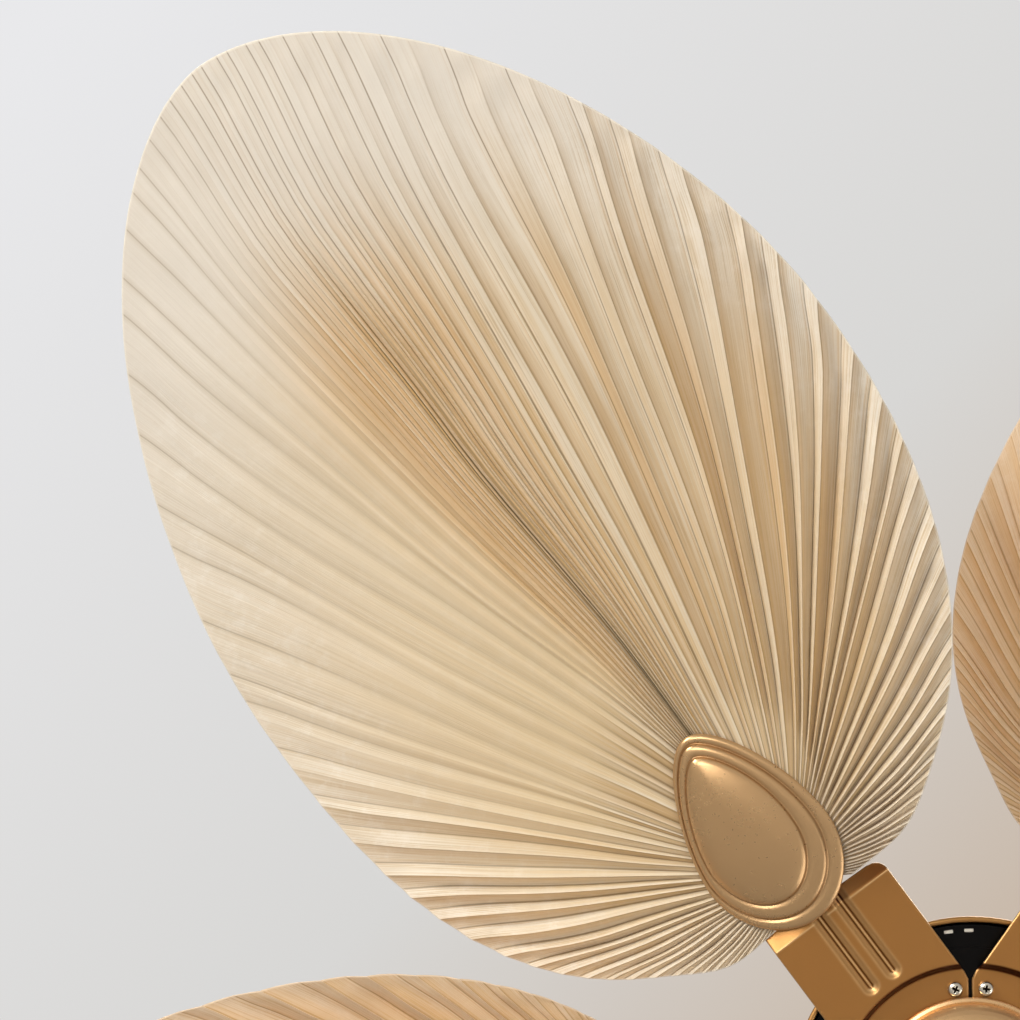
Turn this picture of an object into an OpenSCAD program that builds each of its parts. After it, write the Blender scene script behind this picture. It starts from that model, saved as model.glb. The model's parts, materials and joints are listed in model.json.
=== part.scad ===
// Twin-head ceiling fan: two tilting fan heads on a cross bar, each with five pleated palm-leaf
// blades. Millimetres, +Z up, origin on the ceiling plane over the middle of the cross bar.
// Each head is drawn about its own spin axis, with z = 0 on the underside of the blade arms.

/* [Overall] */
// Gap between the circles that the two heads' blades sweep
blade_gap = 104; // [60:2:500]
// Depth of the cross bar's axis below the ceiling
bar_drop = 340; // [240:10:900]
// Tilt pitch of a blade about its own arm, degrees
blade_pitch = 12; // [6:1:15]
// Turn of the first blade from +X at rest, degrees
first_blade_turn = 89.1; // [0:0.1:360]

/* [Ceiling mount] */
// Distance between the two slots that take the ceiling screws
slot_spacing = 70; // [50:1:90]
// Width of those slots
slot_w = 7; // [5:0.5:9]
// Length of those slots, over their round ends
slot_len = 16; // [10:1:24]
// Sheet thickness of the hanger bracket
bracket_t = 2.5; // [2:0.1:4]
// Width of the hanger bracket
bracket_w = 36; // [30:1:44]
// Diameter of the hanger ball
ball_d = 50; // [42:1:62]
// Height of the receiver box over the ball
receiver_h = 22; // [16:1:30]
// Sheet thickness of the canopy
canopy_wall = 1.2; // [0.8:0.1:2]
// Room between the bracket's legs and the canopy's rim
canopy_room = 26.5; // [20:0.5:40]
// Depth of the canopy under the ball's cup
canopy_under = 9; // [6:0.5:20]
// Gap between the canopy's rim and the ceiling
canopy_gap = 1; // [0.5:0.1:3]
// Gap round the down rod in the canopy's bottom hole
canopy_hole_gap = 9; // [6:0.5:16]

/* [Rod and bar] */
// Diameter of the down rod
rod_d = 26; // [20:1:30]
// Diameter of the cross bar
bar_d = 38; // [30:1:44]
// Wall of both tubes
tube_wall = 2; // [1.5:0.1:3]
// Length of cross bar past each head's axis
bar_overhang = 36; // [30:1:80]
// Diameter of the cross pins that lock the rod, bar and forks
pin_d = 6; // [4:0.5:8]
// Wall of the cast collars round the bar and rod
collar_wall = 6; // [4:0.5:9]

/* [Tilt joint] */
// Web of the fork between the bar's collar and the tongue's slot
fork_web = 16.5; // [8:0.5:40]
// Diameter of the tilt bolt
bolt_d = 10; // [8:1:12]
// Thickness of the stem's tongue
tongue_t = 14; // [10:1:20]
// Thickness of each fork cheek
cheek_t = 6; // [5:0.5:9]
// Radius of the rounded ends of the tongue and the cheeks
lug_r = 17; // [14:0.5:21]
// Diameter of the clamping knob
knob_d = 36; // [30:1:44]
// Height of the stem's round column
stem_h = 45; // [34:1:90]

/* [Motor] */
// Diameter of the fixed hollow shaft
shaft_d = 17; // [14:0.5:21]
// Diameter of its wire bore
shaft_bore_d = 10; // [8:0.5:12]
// Outer diameter of each ball bearing
bearing_d = 40; // [33:1:48]
// Height of each ball bearing
bearing_h = 12; // [10:0.5:15]
// Diameter of the stator core
stator_d = 122.6; // [102:0.2:148]
// Height of the stator core
stator_h = 20; // [14:1:30]
// Air gap between the stator and the drum's iron ring
air_gap = 0.5; // [0.4:0.1:1]
// Radial thickness of the drum's wall with its iron ring
iron_t = 15.2; // [10:0.1:20]
// How far the black base plate stands out past the drum
base_over = 13; // [4:0.5:16]
// Thickness of that base plate
base_t = 3; // [2:0.1:4]
// Gap between the base plate's edge and the motor housing
housing_gap = 3; // [1.5:0.1:6]
// Room over the drum inside the motor housing
housing_room = 12.1; // [4:0.1:30]
// Gap between the drum's top edge and the motor housing
drum_gap = 1.4; // [1:0.1:4]
// Sheet thickness of the motor housing
housing_wall = 1.5; // [1:0.1:2.5]

/* [Hub cap] */
// Diameter of the hub cap
cap_d = 105.8; // [84:0.2:128]
// Depth of the hub cap's dome
cap_h = 22; // [16:1:30]

/* [Blade arm] */
// Width of a blade arm
arm_w = 73; // [60:1:88]
// Sheet thickness of a blade arm
arm_t = 2.5; // [2:0.1:4]
// Length of strap between the motor housing's side and the arm's inner bend
strap_run = 27.5; // [20:0.5:60]
// Length of the twisted strip past that bend
bend_len = 9; // [7:1:14]
// Height of the pressed step round the arms' feet
step_h = 5; // [4:0.5:8]
// Distance from the foot screws' heads to that step
step_run = 7.5; // [4:0.25:16]
// Width of the slit between two feet
foot_slit = 1.8; // [1:0.1:3]
// Gap between the hub cap and the foot screws' heads
foot_screw_gap = 0.55; // [0.3:0.05:4]
// Distance of a foot screw's axis from the slit's edge
foot_screw_edge = 7.06; // [5:0.02:12]
// Thread diameter of the blade screws
screw_d = 5; // [4:0.5:6]
// Head diameter of the blade screws
screw_head_d = 8.3; // [7:0.1:10]

/* [Leaf] */
// Length of a leaf
leaf_len = 537; // [400:1:700]
// Half width of a leaf on the side that hangs lower
leaf_low_half = 185.5; // [120:0.5:230]
// Half width of a leaf on the side that lifts
leaf_high_half = 185.5; // [120:0.5:230]
// Distance from a leaf's base to its widest place on the lower side
leaf_low_belly = 250; // [160:1:300]
// Distance from a leaf's base to its widest place on the other side
leaf_high_belly = 231; // [160:1:300]
// Thickness of a leaf's folded sheet
leaf_t = 2.2; // [1.5:0.1:3]
// Full pleats across a leaf
pleats = 22; // [12:1:26]
// Depth of a pleat from ridge to valley
pleat_depth = 7; // [3:0.5:12]

/* [Medallion] */
// Length of the teardrop medallion
medallion_len = 113; // [90:1:150]
// Width of the medallion
medallion_w = 72.5; // [58:1:90]
// How far the medallion's round end reaches in under the twisted strip
medallion_back = 5; // [4:0.5:10]
// Sideways offset of the medallion toward the side that lifts
medallion_side = 5.2; // [0:0.1:10]
// How much further that way its tip leans
medallion_lean = 5; // [0:0.5:6]
// Depth of each of the medallion's outer steps
medallion_step = 2; // [1.5:0.1:3]
// Height of the medallion's inner dome
medallion_dome = 5; // [3:0.5:8]

/* [Hidden] */
$fn = 96;
eps = 0.01;
// Gap between faces that lie on each other in different pieces
seat_gap = 0.3;
// Radial clearance of a running or push fit
fit = 0.05;
blades = 5;
blade_step = 360 / blades;

// Ceiling mount, from the ceiling down
slot_margin = 3;
bracket_gap = slot_spacing + slot_len + 2 * slot_margin;
ball_r = ball_d / 2;
ball_clear = 8.2;
ball_drop = bracket_t + seat_gap + receiver_h + ball_clear + ball_r;
ball_z = -ball_drop;
// The cup holds a band of the ball between two depths under its centre
cup_low = 17;
cup_high = 5;
canopy_d = bracket_gap + 2 * (bracket_t + canopy_room);
canopy_h = ball_drop + cup_low + canopy_under;
canopy_hole_d = rod_d + 2 * canopy_hole_gap;

// Bar and tilt joint
bar_z = -bar_drop;
collar_r = bar_d / 2 + collar_wall;
crotch_h = lug_r + 1.5;
tilt_drop = collar_r + fork_web + crotch_h;
tilt_z = bar_z - tilt_drop;
pin_hole_r = pin_d / 2 + fit;
bolt_r = bolt_d / 2;
fork_w = tongue_t + 2 * seat_gap + 2 * cheek_t;

// Motor, from the shaft out
bearing_seat_r = bearing_d / 2 + fit;
bearing_seat_wall = 4;
drum_d = stator_d + 2 * (air_gap + iron_t);
base_d = drum_d + 2 * base_over;
housing_d = base_d + 2 * (housing_gap + housing_wall);
plate_hole_r = shaft_d / 2 + 1.5;

// Motor, up from the arms' underside
foot_z = step_h;
base_z = step_h + arm_t;
drum_z = base_z + base_t;
drum_wall = 2.2;
bearing_lift = 0.7;
low_bearing_z = drum_z + bearing_lift;
core_lift = 3;
core_z = low_bearing_z + bearing_h + core_lift;
coil_rise = 6;
high_bearing_z = core_z + stator_h + coil_rise;
drum_top_z = high_bearing_z + bearing_h + drum_wall;
rim_z = step_h - 0.5;
housing_top_z = drum_top_z + housing_room + housing_wall;
shaft_in_stem = 28;
shaft_top_z = housing_top_z + shaft_in_stem;
stem_neck = 8;
head_drop = housing_top_z + stem_h + stem_neck + lug_r;

// Hub cap, down from its rim
cap_wall = 1.5;
cap_rim_z = step_h - 0.8;
cap_low_z = cap_rim_z - cap_h;
cap_shelf = 3.3;
shaft_low_z = cap_low_z + cap_wall + cap_shelf;

// Blade arm, from the hub out
foot_screw_r = cap_d / 2 + foot_screw_gap + screw_head_d / 2;
foot_screw_turn = blade_step / 2 - asin((foot_slit / 2 + foot_screw_edge) / foot_screw_r);
thread_hole_r = screw_d / 2 + fit;
clamp_hole_r = screw_d / 2 + 0.25;
step_r = foot_screw_r + screw_head_d / 2 + step_run;
bend_start = housing_d / 2 + strap_run;
bend_end = bend_start + bend_len;
leaf_start = bend_end;
head_spacing = 2 * (leaf_start + leaf_len) + blade_gap;

// The leaf lies between the arm's outer plate, over it, and the medallion, under it
plate_drop = 2;
plate_inset = 5;
leaf_mid_z = -plate_drop - seat_gap - leaf_t / 2;
medallion_top_z = leaf_mid_z - leaf_t / 2 - seat_gap;
medallion_start = bend_end - medallion_back;
medallion_belly = 0.36 * medallion_len;
medallion_ledge = 6;
medallion_wall = 1.2;
boss_r = 4.5;
clamp_depth = 2 * medallion_step;
clamp_back = medallion_start + medallion_belly + 3.2;
clamp_apart = medallion_w / 2 - 22.5;
clamp_front = medallion_start + medallion_len - 29.5;
clamp_spots = [
    [clamp_back, -medallion_side - clamp_apart],
    [clamp_back, -medallion_side + clamp_apart],
    [clamp_front, -medallion_side - medallion_lean / 2]
];

// The leaf's folds spread from a point under the medallion's round end
fold_root = [medallion_start + 24, -3.5];
fold_in = 6;
fold_rows = [0, 0.25, 0.5, 0.75, 1];
fold_swell = [0, 0.7, 1, 1, 0.75];
tip_power = 1.78;
base_power_low = 2.2;
base_power_high = 2.6;

// One name per solid or set of like solids

// ---------------------------------------------------------------- helpers

// side is -1 for the left head and 1 for the right one
module at_bar_end(side) {
    translate([side * head_spacing / 2, 0, bar_z]) children();
}

module at_head(side) {
    translate([side * head_spacing / 2, 0, tilt_z - head_drop]) children();
}

// A blade's own frame: +X out along its arm, z = 0 on the arm's underside
module at_blade(side, i) {
    at_head(side) rotate([0, 0, first_blade_turn + i * blade_step]) children();
}

module along_x(r, length) {
    rotate([0, 90, 0]) cylinder(r = r, h = length, center = true);
}

module along_y(r, length) {
    rotate([90, 0, 0]) cylinder(r = r, h = length, center = true);
}

module ring(r_out, r_in, h) {
    difference() {
        cylinder(r = r_out, h = h);
        translate([0, 0, -eps]) cylinder(r = r_in, h = h + 2 * eps);
    }
}

function power_arc(angle, power) = sign(sin(angle)) * pow(abs(sin(angle)), 2 / power);

// ---------------------------------------------------------------- ceiling mount

cup_wall = 5;
cup_hole_r = rod_d / 2 + 5;
rod_slot_w = rod_d + 2;
wire_hole_r = 12;
tab_w = 4.4;
tab_reach = 4.5;
tab_low = 13;
tab_high = 6;
groove_w = tab_w + 1;
groove_depth = ball_r - rod_d / 2 - 2;
groove_high = 12;
ear_h = 20;
canopy_skirt = 24;
canopy_fullness = 0.6;
canopy_screw_r = 2;
canopy_head_r = 3.6;
canopy_head_h = 2.4;
canopy_screw_z = -12;
canopy_screw_y = [-10, 10];
receiver_side_gap = 3;
receiver_port_r = 4;

// The bracket's ears stand just inside the canopy's skirt
function canopy_ear_x() =
    sqrt(pow(canopy_d / 2 - canopy_wall, 2) - pow(bracket_w / 2, 2)) - 2 * seat_gap;

// Pressed bracket that hangs the ball: a slotted ceiling plate, two legs and a seat with a cup.
// The seat is open to +Y, where the rod goes in, and its tab stops the ball from turning.
module hanger_bracket() {
    cup_z = ball_z - cup_low;
    color("silver") difference() {
        union() {
            bracket_sides();
            translate([0, 0, cup_z]) cylinder(r = ball_r + cup_wall, h = cup_low - cup_high);
        }
        translate([0, 0, ball_z]) sphere(r = ball_r + seat_gap);
        translate([0, 0, cup_z - eps]) cylinder(r = cup_hole_r, h = cup_low);
        translate([-rod_slot_w / 2, 0, cup_z - eps]) cube([rod_slot_w, bracket_w, cup_low + eps]);
        for (x = [-slot_spacing / 2, slot_spacing / 2]) {
            translate([x, 0, -bracket_t - eps]) ceiling_slot();
        }
        translate([0, 0, -bracket_t - eps]) cylinder(r = wire_hole_r, h = bracket_t + 2 * eps);
    }
    color("silver") ball_tab();
}

module bracket_sides() {
    plate_len = bracket_gap + 2 * bracket_t;
    leg_h = ball_drop + cup_low;
    translate([-plate_len / 2, -bracket_w / 2, -bracket_t]) cube([plate_len, bracket_w, bracket_t]);
    translate([-plate_len / 2, -bracket_w / 2, -leg_h]) cube([plate_len, bracket_w, bracket_t]);
    for (side = [-1, 1]) {
        translate([side * (bracket_gap + bracket_t) / 2 - bracket_t / 2, -bracket_w / 2, -leg_h])
            cube([bracket_t, bracket_w, leg_h]);
        canopy_ear(side);
    }
}

// Ear that takes the canopy's two side screws
module canopy_ear(side) {
    reach = canopy_ear_x() - bracket_gap / 2;
    x = side > 0 ? bracket_gap / 2 : -bracket_gap / 2 - reach;
    translate([x, -bracket_w / 2, -bracket_t]) cube([reach, bracket_w, bracket_t]);
    difference() {
        translate([side * (canopy_ear_x() - bracket_t / 2) - bracket_t / 2, -bracket_w / 2, -ear_h])
            cube([bracket_t, bracket_w, ear_h]);
        for (y = canopy_screw_y) {
            translate([side * canopy_ear_x(), y, canopy_screw_z])
                along_x(canopy_screw_r + fit, 4 * bracket_t);
        }
    }
}

module ceiling_slot() {
    linear_extrude(height = bracket_t + 2 * eps) {
        square([slot_len - slot_w, slot_w], center = true);
        for (x = [-1, 1]) {
            translate([x * (slot_len - slot_w) / 2, 0]) circle(r = slot_w / 2);
        }
    }
}

module ball_tab() {
    translate([-ball_r - 2, -tab_w / 2, ball_z - tab_low])
        cube([tab_reach + 2, tab_w, tab_low - tab_high]);
}

// Bell-shaped sheet cover, with its screw holes on the X sides
module canopy() {
    color([0.66, 0.48, 0.27]) difference() {
        rotate_extrude() polygon(concat(
            [for (a = [0 : 6 : 90]) canopy_point(a, 0)],
            [for (a = [90 : -6 : 0]) canopy_point(a, canopy_wall)],
            [[canopy_d / 2 - canopy_wall, -canopy_gap], [canopy_d / 2, -canopy_gap]]
        ));
        for (y = canopy_screw_y) {
            translate([0, y, canopy_screw_z]) along_x(canopy_screw_r + seat_gap, 2 * canopy_d);
        }
    }
}

function canopy_point(a, inset) = [
    canopy_hole_d / 2 + (canopy_d / 2 - inset - canopy_hole_d / 2) * pow(cos(a), canopy_fullness),
    -canopy_skirt - (canopy_h - inset - canopy_skirt) * sin(a)
];

// Four pan-head screws that hold the canopy to the bracket's ears
module canopy_screws() {
    tip = canopy_ear_x() - bracket_t - 1;
    head = canopy_d / 2 + seat_gap;
    for (side = [-1, 1], y = canopy_screw_y) {
        color("silver") translate([0, y, canopy_screw_z]) rotate([0, 90 * side, 0]) {
            translate([0, 0, tip]) cylinder(r = canopy_screw_r, h = head - tip + eps);
            translate([0, 0, head]) cylinder(r = canopy_head_r, h = canopy_head_h);
        }
    }
}

// Radio receiver, taped under the ceiling plate between the legs
module receiver_box() {
    length = bracket_gap - 2 * receiver_side_gap;
    color([0.12, 0.12, 0.12]) difference() {
        translate([-length / 2, -bracket_w / 2 + 1, -bracket_t - seat_gap - receiver_h])
            cube([length, bracket_w - 2, receiver_h]);
        for (side = [-1, 1]) {
            translate([side * length / 2, 0, -bracket_t - seat_gap - receiver_h / 2])
                along_x(receiver_port_r, 2 * receiver_port_r);
        }
    }
}

// Moulded ball that carries the rod. The groove on its -X side takes the bracket's tab.
module hanger_ball() {
    color([0.85, 0.85, 0.82]) difference() {
        translate([0, 0, ball_z]) sphere(r = ball_r);
        translate([0, 0, ball_z - ball_d]) cylinder(r = rod_d / 2 + fit, h = 2 * ball_d);
        translate([-ball_d, -groove_w / 2, ball_z - ball_d])
            cube([ball_d - ball_r + groove_depth, groove_w, ball_d + groove_high]);
        translate([0, 0, ball_z]) along_y(pin_hole_r, 2 * ball_d);
    }
}

// ---------------------------------------------------------------- rod and bar

rod_top_z = ball_z + 12;
rod_seat_h = bar_d / 2 + 3;
socket_h = rod_seat_h + 36;
socket_r = rod_d / 2 + collar_wall;
socket_lip = 3;
tee_len = 72;
pin_inset = 12;
tee_pin_z = bar_z + socket_h - pin_inset;
tee_pin_x = tee_len / 2 - pin_inset;
bar_len = head_spacing + 2 * bar_overhang;
bar_pin_places = [-head_spacing / 2, -tee_pin_x, tee_pin_x, head_spacing / 2];
cap_lip = 1;
cap_spigot = 12;

module downrod() {
    low_z = bar_z + rod_seat_h;
    color([0.66, 0.48, 0.27]) difference() {
        translate([0, 0, low_z]) ring(rod_d / 2, rod_d / 2 - tube_wall, rod_top_z - low_z);
        for (z = [ball_z, tee_pin_z]) {
            translate([0, 0, z]) along_y(pin_hole_r, 2 * rod_d);
        }
    }
}

// Cast tee: a collar on the bar with a socket for the rod
module centre_tee() {
    color([0.66, 0.48, 0.27]) difference() {
        translate([0, 0, bar_z]) union() {
            along_x(collar_r, tee_len);
            cylinder(r = socket_r, h = socket_h);
            translate([0, 0, socket_h])
                cylinder(r1 = socket_r, r2 = socket_r - socket_lip, h = socket_lip);
        }
        translate([0, 0, bar_z]) along_x(bar_d / 2 + fit, 2 * tee_len);
        translate([0, 0, bar_z + rod_seat_h]) cylinder(r = rod_d / 2 + fit, h = 2 * socket_h);
        translate([0, 0, tee_pin_z]) along_y(pin_hole_r, 3 * socket_r);
        for (x = [-tee_pin_x, tee_pin_x]) {
            translate([x, 0, bar_z]) along_y(pin_hole_r, 3 * collar_r);
        }
    }
}

module cross_bar() {
    color([0.66, 0.48, 0.27]) difference() {
        translate([0, 0, bar_z]) difference() {
            along_x(bar_d / 2, bar_len);
            along_x(bar_d / 2 - tube_wall, 2 * bar_len);
        }
        for (x = bar_pin_places) {
            translate([x, 0, bar_z]) along_y(pin_hole_r, 2 * bar_d);
        }
    }
}

// Two domed plugs that close the bar's ends
module bar_caps() {
    cap_r = bar_d / 2 + cap_lip;
    rim = 3;
    dome = 5;
    for (side = [-1, 1]) {
        color([0.6, 0.43, 0.23]) translate([side * bar_len / 2, 0, bar_z]) rotate([0, 90 * side, 0]) {
            translate([0, 0, -cap_spigot])
                cylinder(r = bar_d / 2 - tube_wall - fit, h = cap_spigot + eps);
            rotate_extrude() polygon(concat(
                [[0, 0], [cap_r, 0]],
                [for (a = [0 : 12 : 84]) [cap_r * cos(a), rim + dome * sin(a)]],
                [[0, rim + dome]]
            ));
        }
    }
}

// Steel pins: through the ball, the tee's socket, the tee's collar twice, and each fork's collar
module cross_pins() {
    flush = 0.5;
    color("silver") {
        translate([0, 0, ball_z]) along_y(pin_d / 2, ball_d - 12);
        translate([0, 0, tee_pin_z]) along_y(pin_d / 2, 2 * (socket_r - flush));
        for (x = bar_pin_places) {
            translate([x, 0, bar_z]) along_y(pin_d / 2, 2 * (collar_r - flush));
        }
    }
}

// ---------------------------------------------------------------- tilt joint

washer_t = 1.6;
bolt_head_h = 6.4;
bolt_head_r = 0.98 * bolt_d;
knob_t = 15;
knob_lobes = 6;
knob_face = 3;
knob_hub_r = 0.95 * bolt_d;
knob_scoop_r = 0.16 * knob_d;
knob_scoop_at = 0.58 * knob_d;
stem_overlap = 6;
stem_column_r = lug_r - 1;
flange_r = 1.6 * lug_r;
flange_h = 5;

// Cast fork: a collar on the bar with two cheeks that take the tilt bolt
module fork(side) {
    slot_w = tongue_t + 2 * seat_gap;
    color([0.66, 0.48, 0.27]) at_bar_end(side) difference() {
        union() {
            along_x(collar_r, fork_w);
            translate([0, 0, -tilt_drop]) along_x(lug_r, fork_w);
            translate([-fork_w / 2, -lug_r, -tilt_drop]) cube([fork_w, 2 * lug_r, tilt_drop]);
        }
        along_x(bar_d / 2 + fit, 2 * fork_w);
        along_y(pin_hole_r, 3 * collar_r);
        translate([-slot_w / 2, -2 * lug_r, -tilt_drop - 2 * lug_r])
            cube([slot_w, 4 * lug_r, 2 * lug_r + crotch_h]);
        translate([0, 0, -tilt_drop]) along_x(bolt_r + fit, 2 * fork_w);
    }
}

// Hex-head bolt through both cheeks and the tongue, with a washer under its head
module tilt_bolt(side) {
    color("silver") at_bar_end(side) translate([0, 0, -tilt_drop]) rotate([0, 90 * side, 0]) {
        translate([0, 0, -fork_w / 2 - eps]) cylinder(r = bolt_r, h = fork_w + knob_t - 1);
        translate([0, 0, -fork_w / 2 - washer_t]) cylinder(r = bolt_d, h = washer_t);
        translate([0, 0, -fork_w / 2 - washer_t - bolt_head_h])
            cylinder(r = bolt_head_r, h = bolt_head_h + eps, $fn = 6);
    }
}

// Six-lobed hand knob on the outer end of the bolt, which locks the head's tilt
module tilt_knob(side) {
    color([0.6, 0.43, 0.23]) at_bar_end(side) translate([0, 0, -tilt_drop]) rotate([0, 90 * side, 0])
        translate([0, 0, fork_w / 2 + seat_gap]) difference() {
            union() {
                cylinder(r = knob_hub_r, h = knob_t);
                translate([0, 0, knob_face]) cylinder(r = knob_d / 2, h = knob_t - knob_face - 2);
            }
            for (i = [0 : knob_lobes - 1]) {
                rotate([0, 0, i * 360 / knob_lobes]) translate([knob_scoop_at, 0, -eps])
                    cylinder(r = knob_scoop_r, h = knob_t + 1);
            }
            translate([0, 0, -eps]) cylinder(r = bolt_r + fit, h = knob_t + 1);
        }
}

// Cast stem that hangs the motor: tongue, round column and flange. The shaft goes up its bore.
module stem(side) {
    column_top = housing_top_z + stem_h;
    color([0.66, 0.48, 0.27]) at_head(side) difference() {
        union() {
            translate([0, 0, head_drop]) along_x(lug_r, tongue_t);
            translate([-tongue_t / 2, -lug_r, column_top - stem_overlap])
                cube([tongue_t, 2 * lug_r, head_drop - column_top + stem_overlap]);
            translate([0, 0, housing_top_z])
                cylinder(r = stem_column_r, h = column_top - housing_top_z);
            translate([0, 0, housing_top_z]) cylinder(r = flange_r, h = flange_h);
        }
        translate([0, 0, head_drop]) along_x(bolt_r + fit, 2 * tongue_t);
        translate([0, 0, housing_top_z - eps])
            cylinder(r = shaft_d / 2 + fit, h = shaft_in_stem + seat_gap);
    }
}

// ---------------------------------------------------------------- motor

module motor_shaft(side) {
    color("silver") at_head(side) translate([0, 0, shaft_low_z])
        ring(shaft_d / 2, shaft_bore_d / 2, shaft_top_z - shaft_low_z);
}

poles = 12;
tooth_w = 10;
tooth_in_r = bearing_d / 2 + 6;
shoe_t = 5;
shoe_half_turn = 12;
coil_wall = 2.3;
coil_gap = 0.2;

// Laminated core: a hub on the shaft, twelve teeth and their curved shoes
module stator_core(side) {
    shoe_r = stator_d / 2 - shoe_t;
    color([0.45, 0.46, 0.48]) at_head(side) translate([0, 0, core_z]) difference() {
        union() {
            cylinder(r = tooth_in_r, h = stator_h);
            for (i = [0 : poles - 1]) {
                rotate([0, 0, i * 360 / poles]) {
                    translate([tooth_in_r - 2, -tooth_w / 2, 0])
                        cube([shoe_r - tooth_in_r + 2 + shoe_t / 2, tooth_w, stator_h]);
                    intersection() {
                        ring(stator_d / 2, shoe_r, stator_h);
                        translate([tooth_in_r, -shoe_r * sin(shoe_half_turn), 0])
                            cube([stator_d, 2 * shoe_r * sin(shoe_half_turn), stator_h]);
                    }
                }
            }
        }
        translate([0, 0, -eps]) cylinder(r = shaft_d / 2 + fit, h = stator_h + 1);
    }
}

// One copper coil round each tooth
module stator_coils(side) {
    coil_in_r = tooth_in_r + 5;
    coil_len = stator_d / 2 - shoe_t - coil_in_r - 1;
    over = coil_rise - 1;
    color([0.72, 0.38, 0.2]) at_head(side) {
        for (i = [0 : poles - 1]) {
            rotate([0, 0, i * 360 / poles]) difference() {
                translate([coil_in_r, -tooth_w / 2 - coil_wall, core_z - over])
                    cube([coil_len, tooth_w + 2 * coil_wall, stator_h + 2 * over]);
                translate([coil_in_r - 1, -tooth_w / 2 - coil_gap, core_z - coil_gap])
                    cube([coil_len + 2, tooth_w + 2 * coil_gap, stator_h + 2 * coil_gap]);
            }
        }
    }
}

// Two shielded ball bearings between the fixed shaft and the spinning drum
module bearings(side) {
    inner = shaft_d / 2 + fit;
    outer = bearing_d / 2;
    race = 3;
    recess = 0.6;
    color([0.75, 0.76, 0.78]) at_head(side) {
        for (z = [low_bearing_z, high_bearing_z]) {
            translate([0, 0, z]) difference() {
                ring(outer, inner, bearing_h);
                translate([0, 0, -eps]) ring(outer - race, inner + race, recess);
                translate([0, 0, bearing_h - recess]) ring(outer - race, inner + race, recess + eps);
            }
        }
    }
}

// Spinning steel drum with its iron ring and the upper bearing's seat
module rotor_drum(side) {
    ring_over = 2;
    color([0.2, 0.2, 0.21]) at_head(side) difference() {
        union() {
            translate([0, 0, drum_z]) ring(drum_d / 2, drum_d / 2 - drum_wall, drum_top_z - drum_z);
            translate([0, 0, drum_top_z - drum_wall]) cylinder(r = drum_d / 2, h = drum_wall);
            translate([0, 0, high_bearing_z])
                cylinder(r = bearing_seat_r + bearing_seat_wall, h = bearing_h + 1);
            translate([0, 0, core_z - ring_over])
                ring(drum_d / 2 - drum_wall / 2, stator_d / 2 + air_gap, stator_h + 2 * ring_over);
        }
        translate([0, 0, high_bearing_z - eps]) cylinder(r = bearing_seat_r, h = bearing_h + eps);
        translate([0, 0, core_z]) cylinder(r = plate_hole_r, h = drum_top_z);
    }
}

// Turns of the two vents in each gap between two arms, from the gap's middle
vent_turns = [-7, 0];
vent_r = base_d / 2 - 3;
vent_size = [2, 5];
// The plate's rim is thinner, outside a step that shows between the arms
plate_step_r = step_r + arm_t + 6.5;
plate_step_h = 0.5;

// Black plate that closes the drum and carries the blade arms, with vents between them
module rotor_base(side) {
    color([0.05, 0.05, 0.06]) at_head(side) difference() {
        union() {
            translate([0, 0, base_z]) cylinder(r = base_d / 2, h = base_t);
            translate([0, 0, base_z])
                cylinder(r = bearing_seat_r + bearing_seat_wall, h = base_t + bearing_h);
        }
        translate([0, 0, base_z - eps]) cylinder(r = plate_hole_r, h = base_t + 1);
        translate([0, 0, low_bearing_z]) cylinder(r = bearing_seat_r, h = bearing_h + 1);
        translate([0, 0, base_z - eps]) ring(base_d, plate_step_r, plate_step_h);
        for (i = [0 : blades - 1], turn = vent_turns) {
            rotate([0, 0, first_blade_turn + (i + 0.5) * blade_step + turn])
                translate([vent_r - vent_size[0] / 2, -vent_size[1] / 2, base_z - 1])
                    cube([vent_size[0], vent_size[1], base_t + 2]);
        }
        for (i = [0 : blades - 1]) {
            rotate([0, 0, first_blade_turn + i * blade_step]) foot_screw_spots()
                translate([0, 0, base_z - 1]) cylinder(r = thread_hole_r, h = base_t + 2);
        }
    }
}

shoulder_r = 18;
rim_bead_r = 1.5;

// Fixed sheet housing over the drum. Its side leans in from a rolled rim to the shoulder, which
// clears the drum's top edge.
module motor_housing(side) {
    r = housing_d / 2;
    inner_r = shoulder_r - housing_wall;
    below = max(0, inner_r - housing_room);
    centre = [
        drum_d / 2 + drum_gap - sqrt(inner_r * inner_r - below * below),
        housing_top_z - shoulder_r
    ];
    neck_r = shaft_d / 2 + 0.4;
    bead_z = rim_z + rim_bead_r;
    color([0.66, 0.48, 0.27]) at_head(side) rotate_extrude() union() {
        polygon(concat(
            [[r, bead_z]],
            [for (a = [0 : 7.5 : 90]) centre + shoulder_r * [cos(a), sin(a)]],
            [[neck_r, housing_top_z], [neck_r, housing_top_z - housing_wall]],
            [for (a = [90 : -7.5 : 0]) centre + inner_r * [cos(a), sin(a)]],
            [[r - housing_wall, bead_z]]
        ));
        translate([r - rim_bead_r, bead_z]) circle(r = rim_bead_r, $fn = 24);
    }
}

// ---------------------------------------------------------------- hub cap

cap_bead_w = 1.9;
cap_bead_h = 3;
cap_boss_wall = 4;
cap_boss_z = 2;
nut_r = shaft_d / 2;
nut_rim = 2.7;
nut_dome = 5;

// The dome springs from inside the beaded rim
function cap_point(a, inset) = [
    (cap_d / 2 - 3.4 - inset) * cos(a),
    cap_rim_z - cap_bead_h - (cap_h - cap_bead_h - inset) * sin(a)
];

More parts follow.
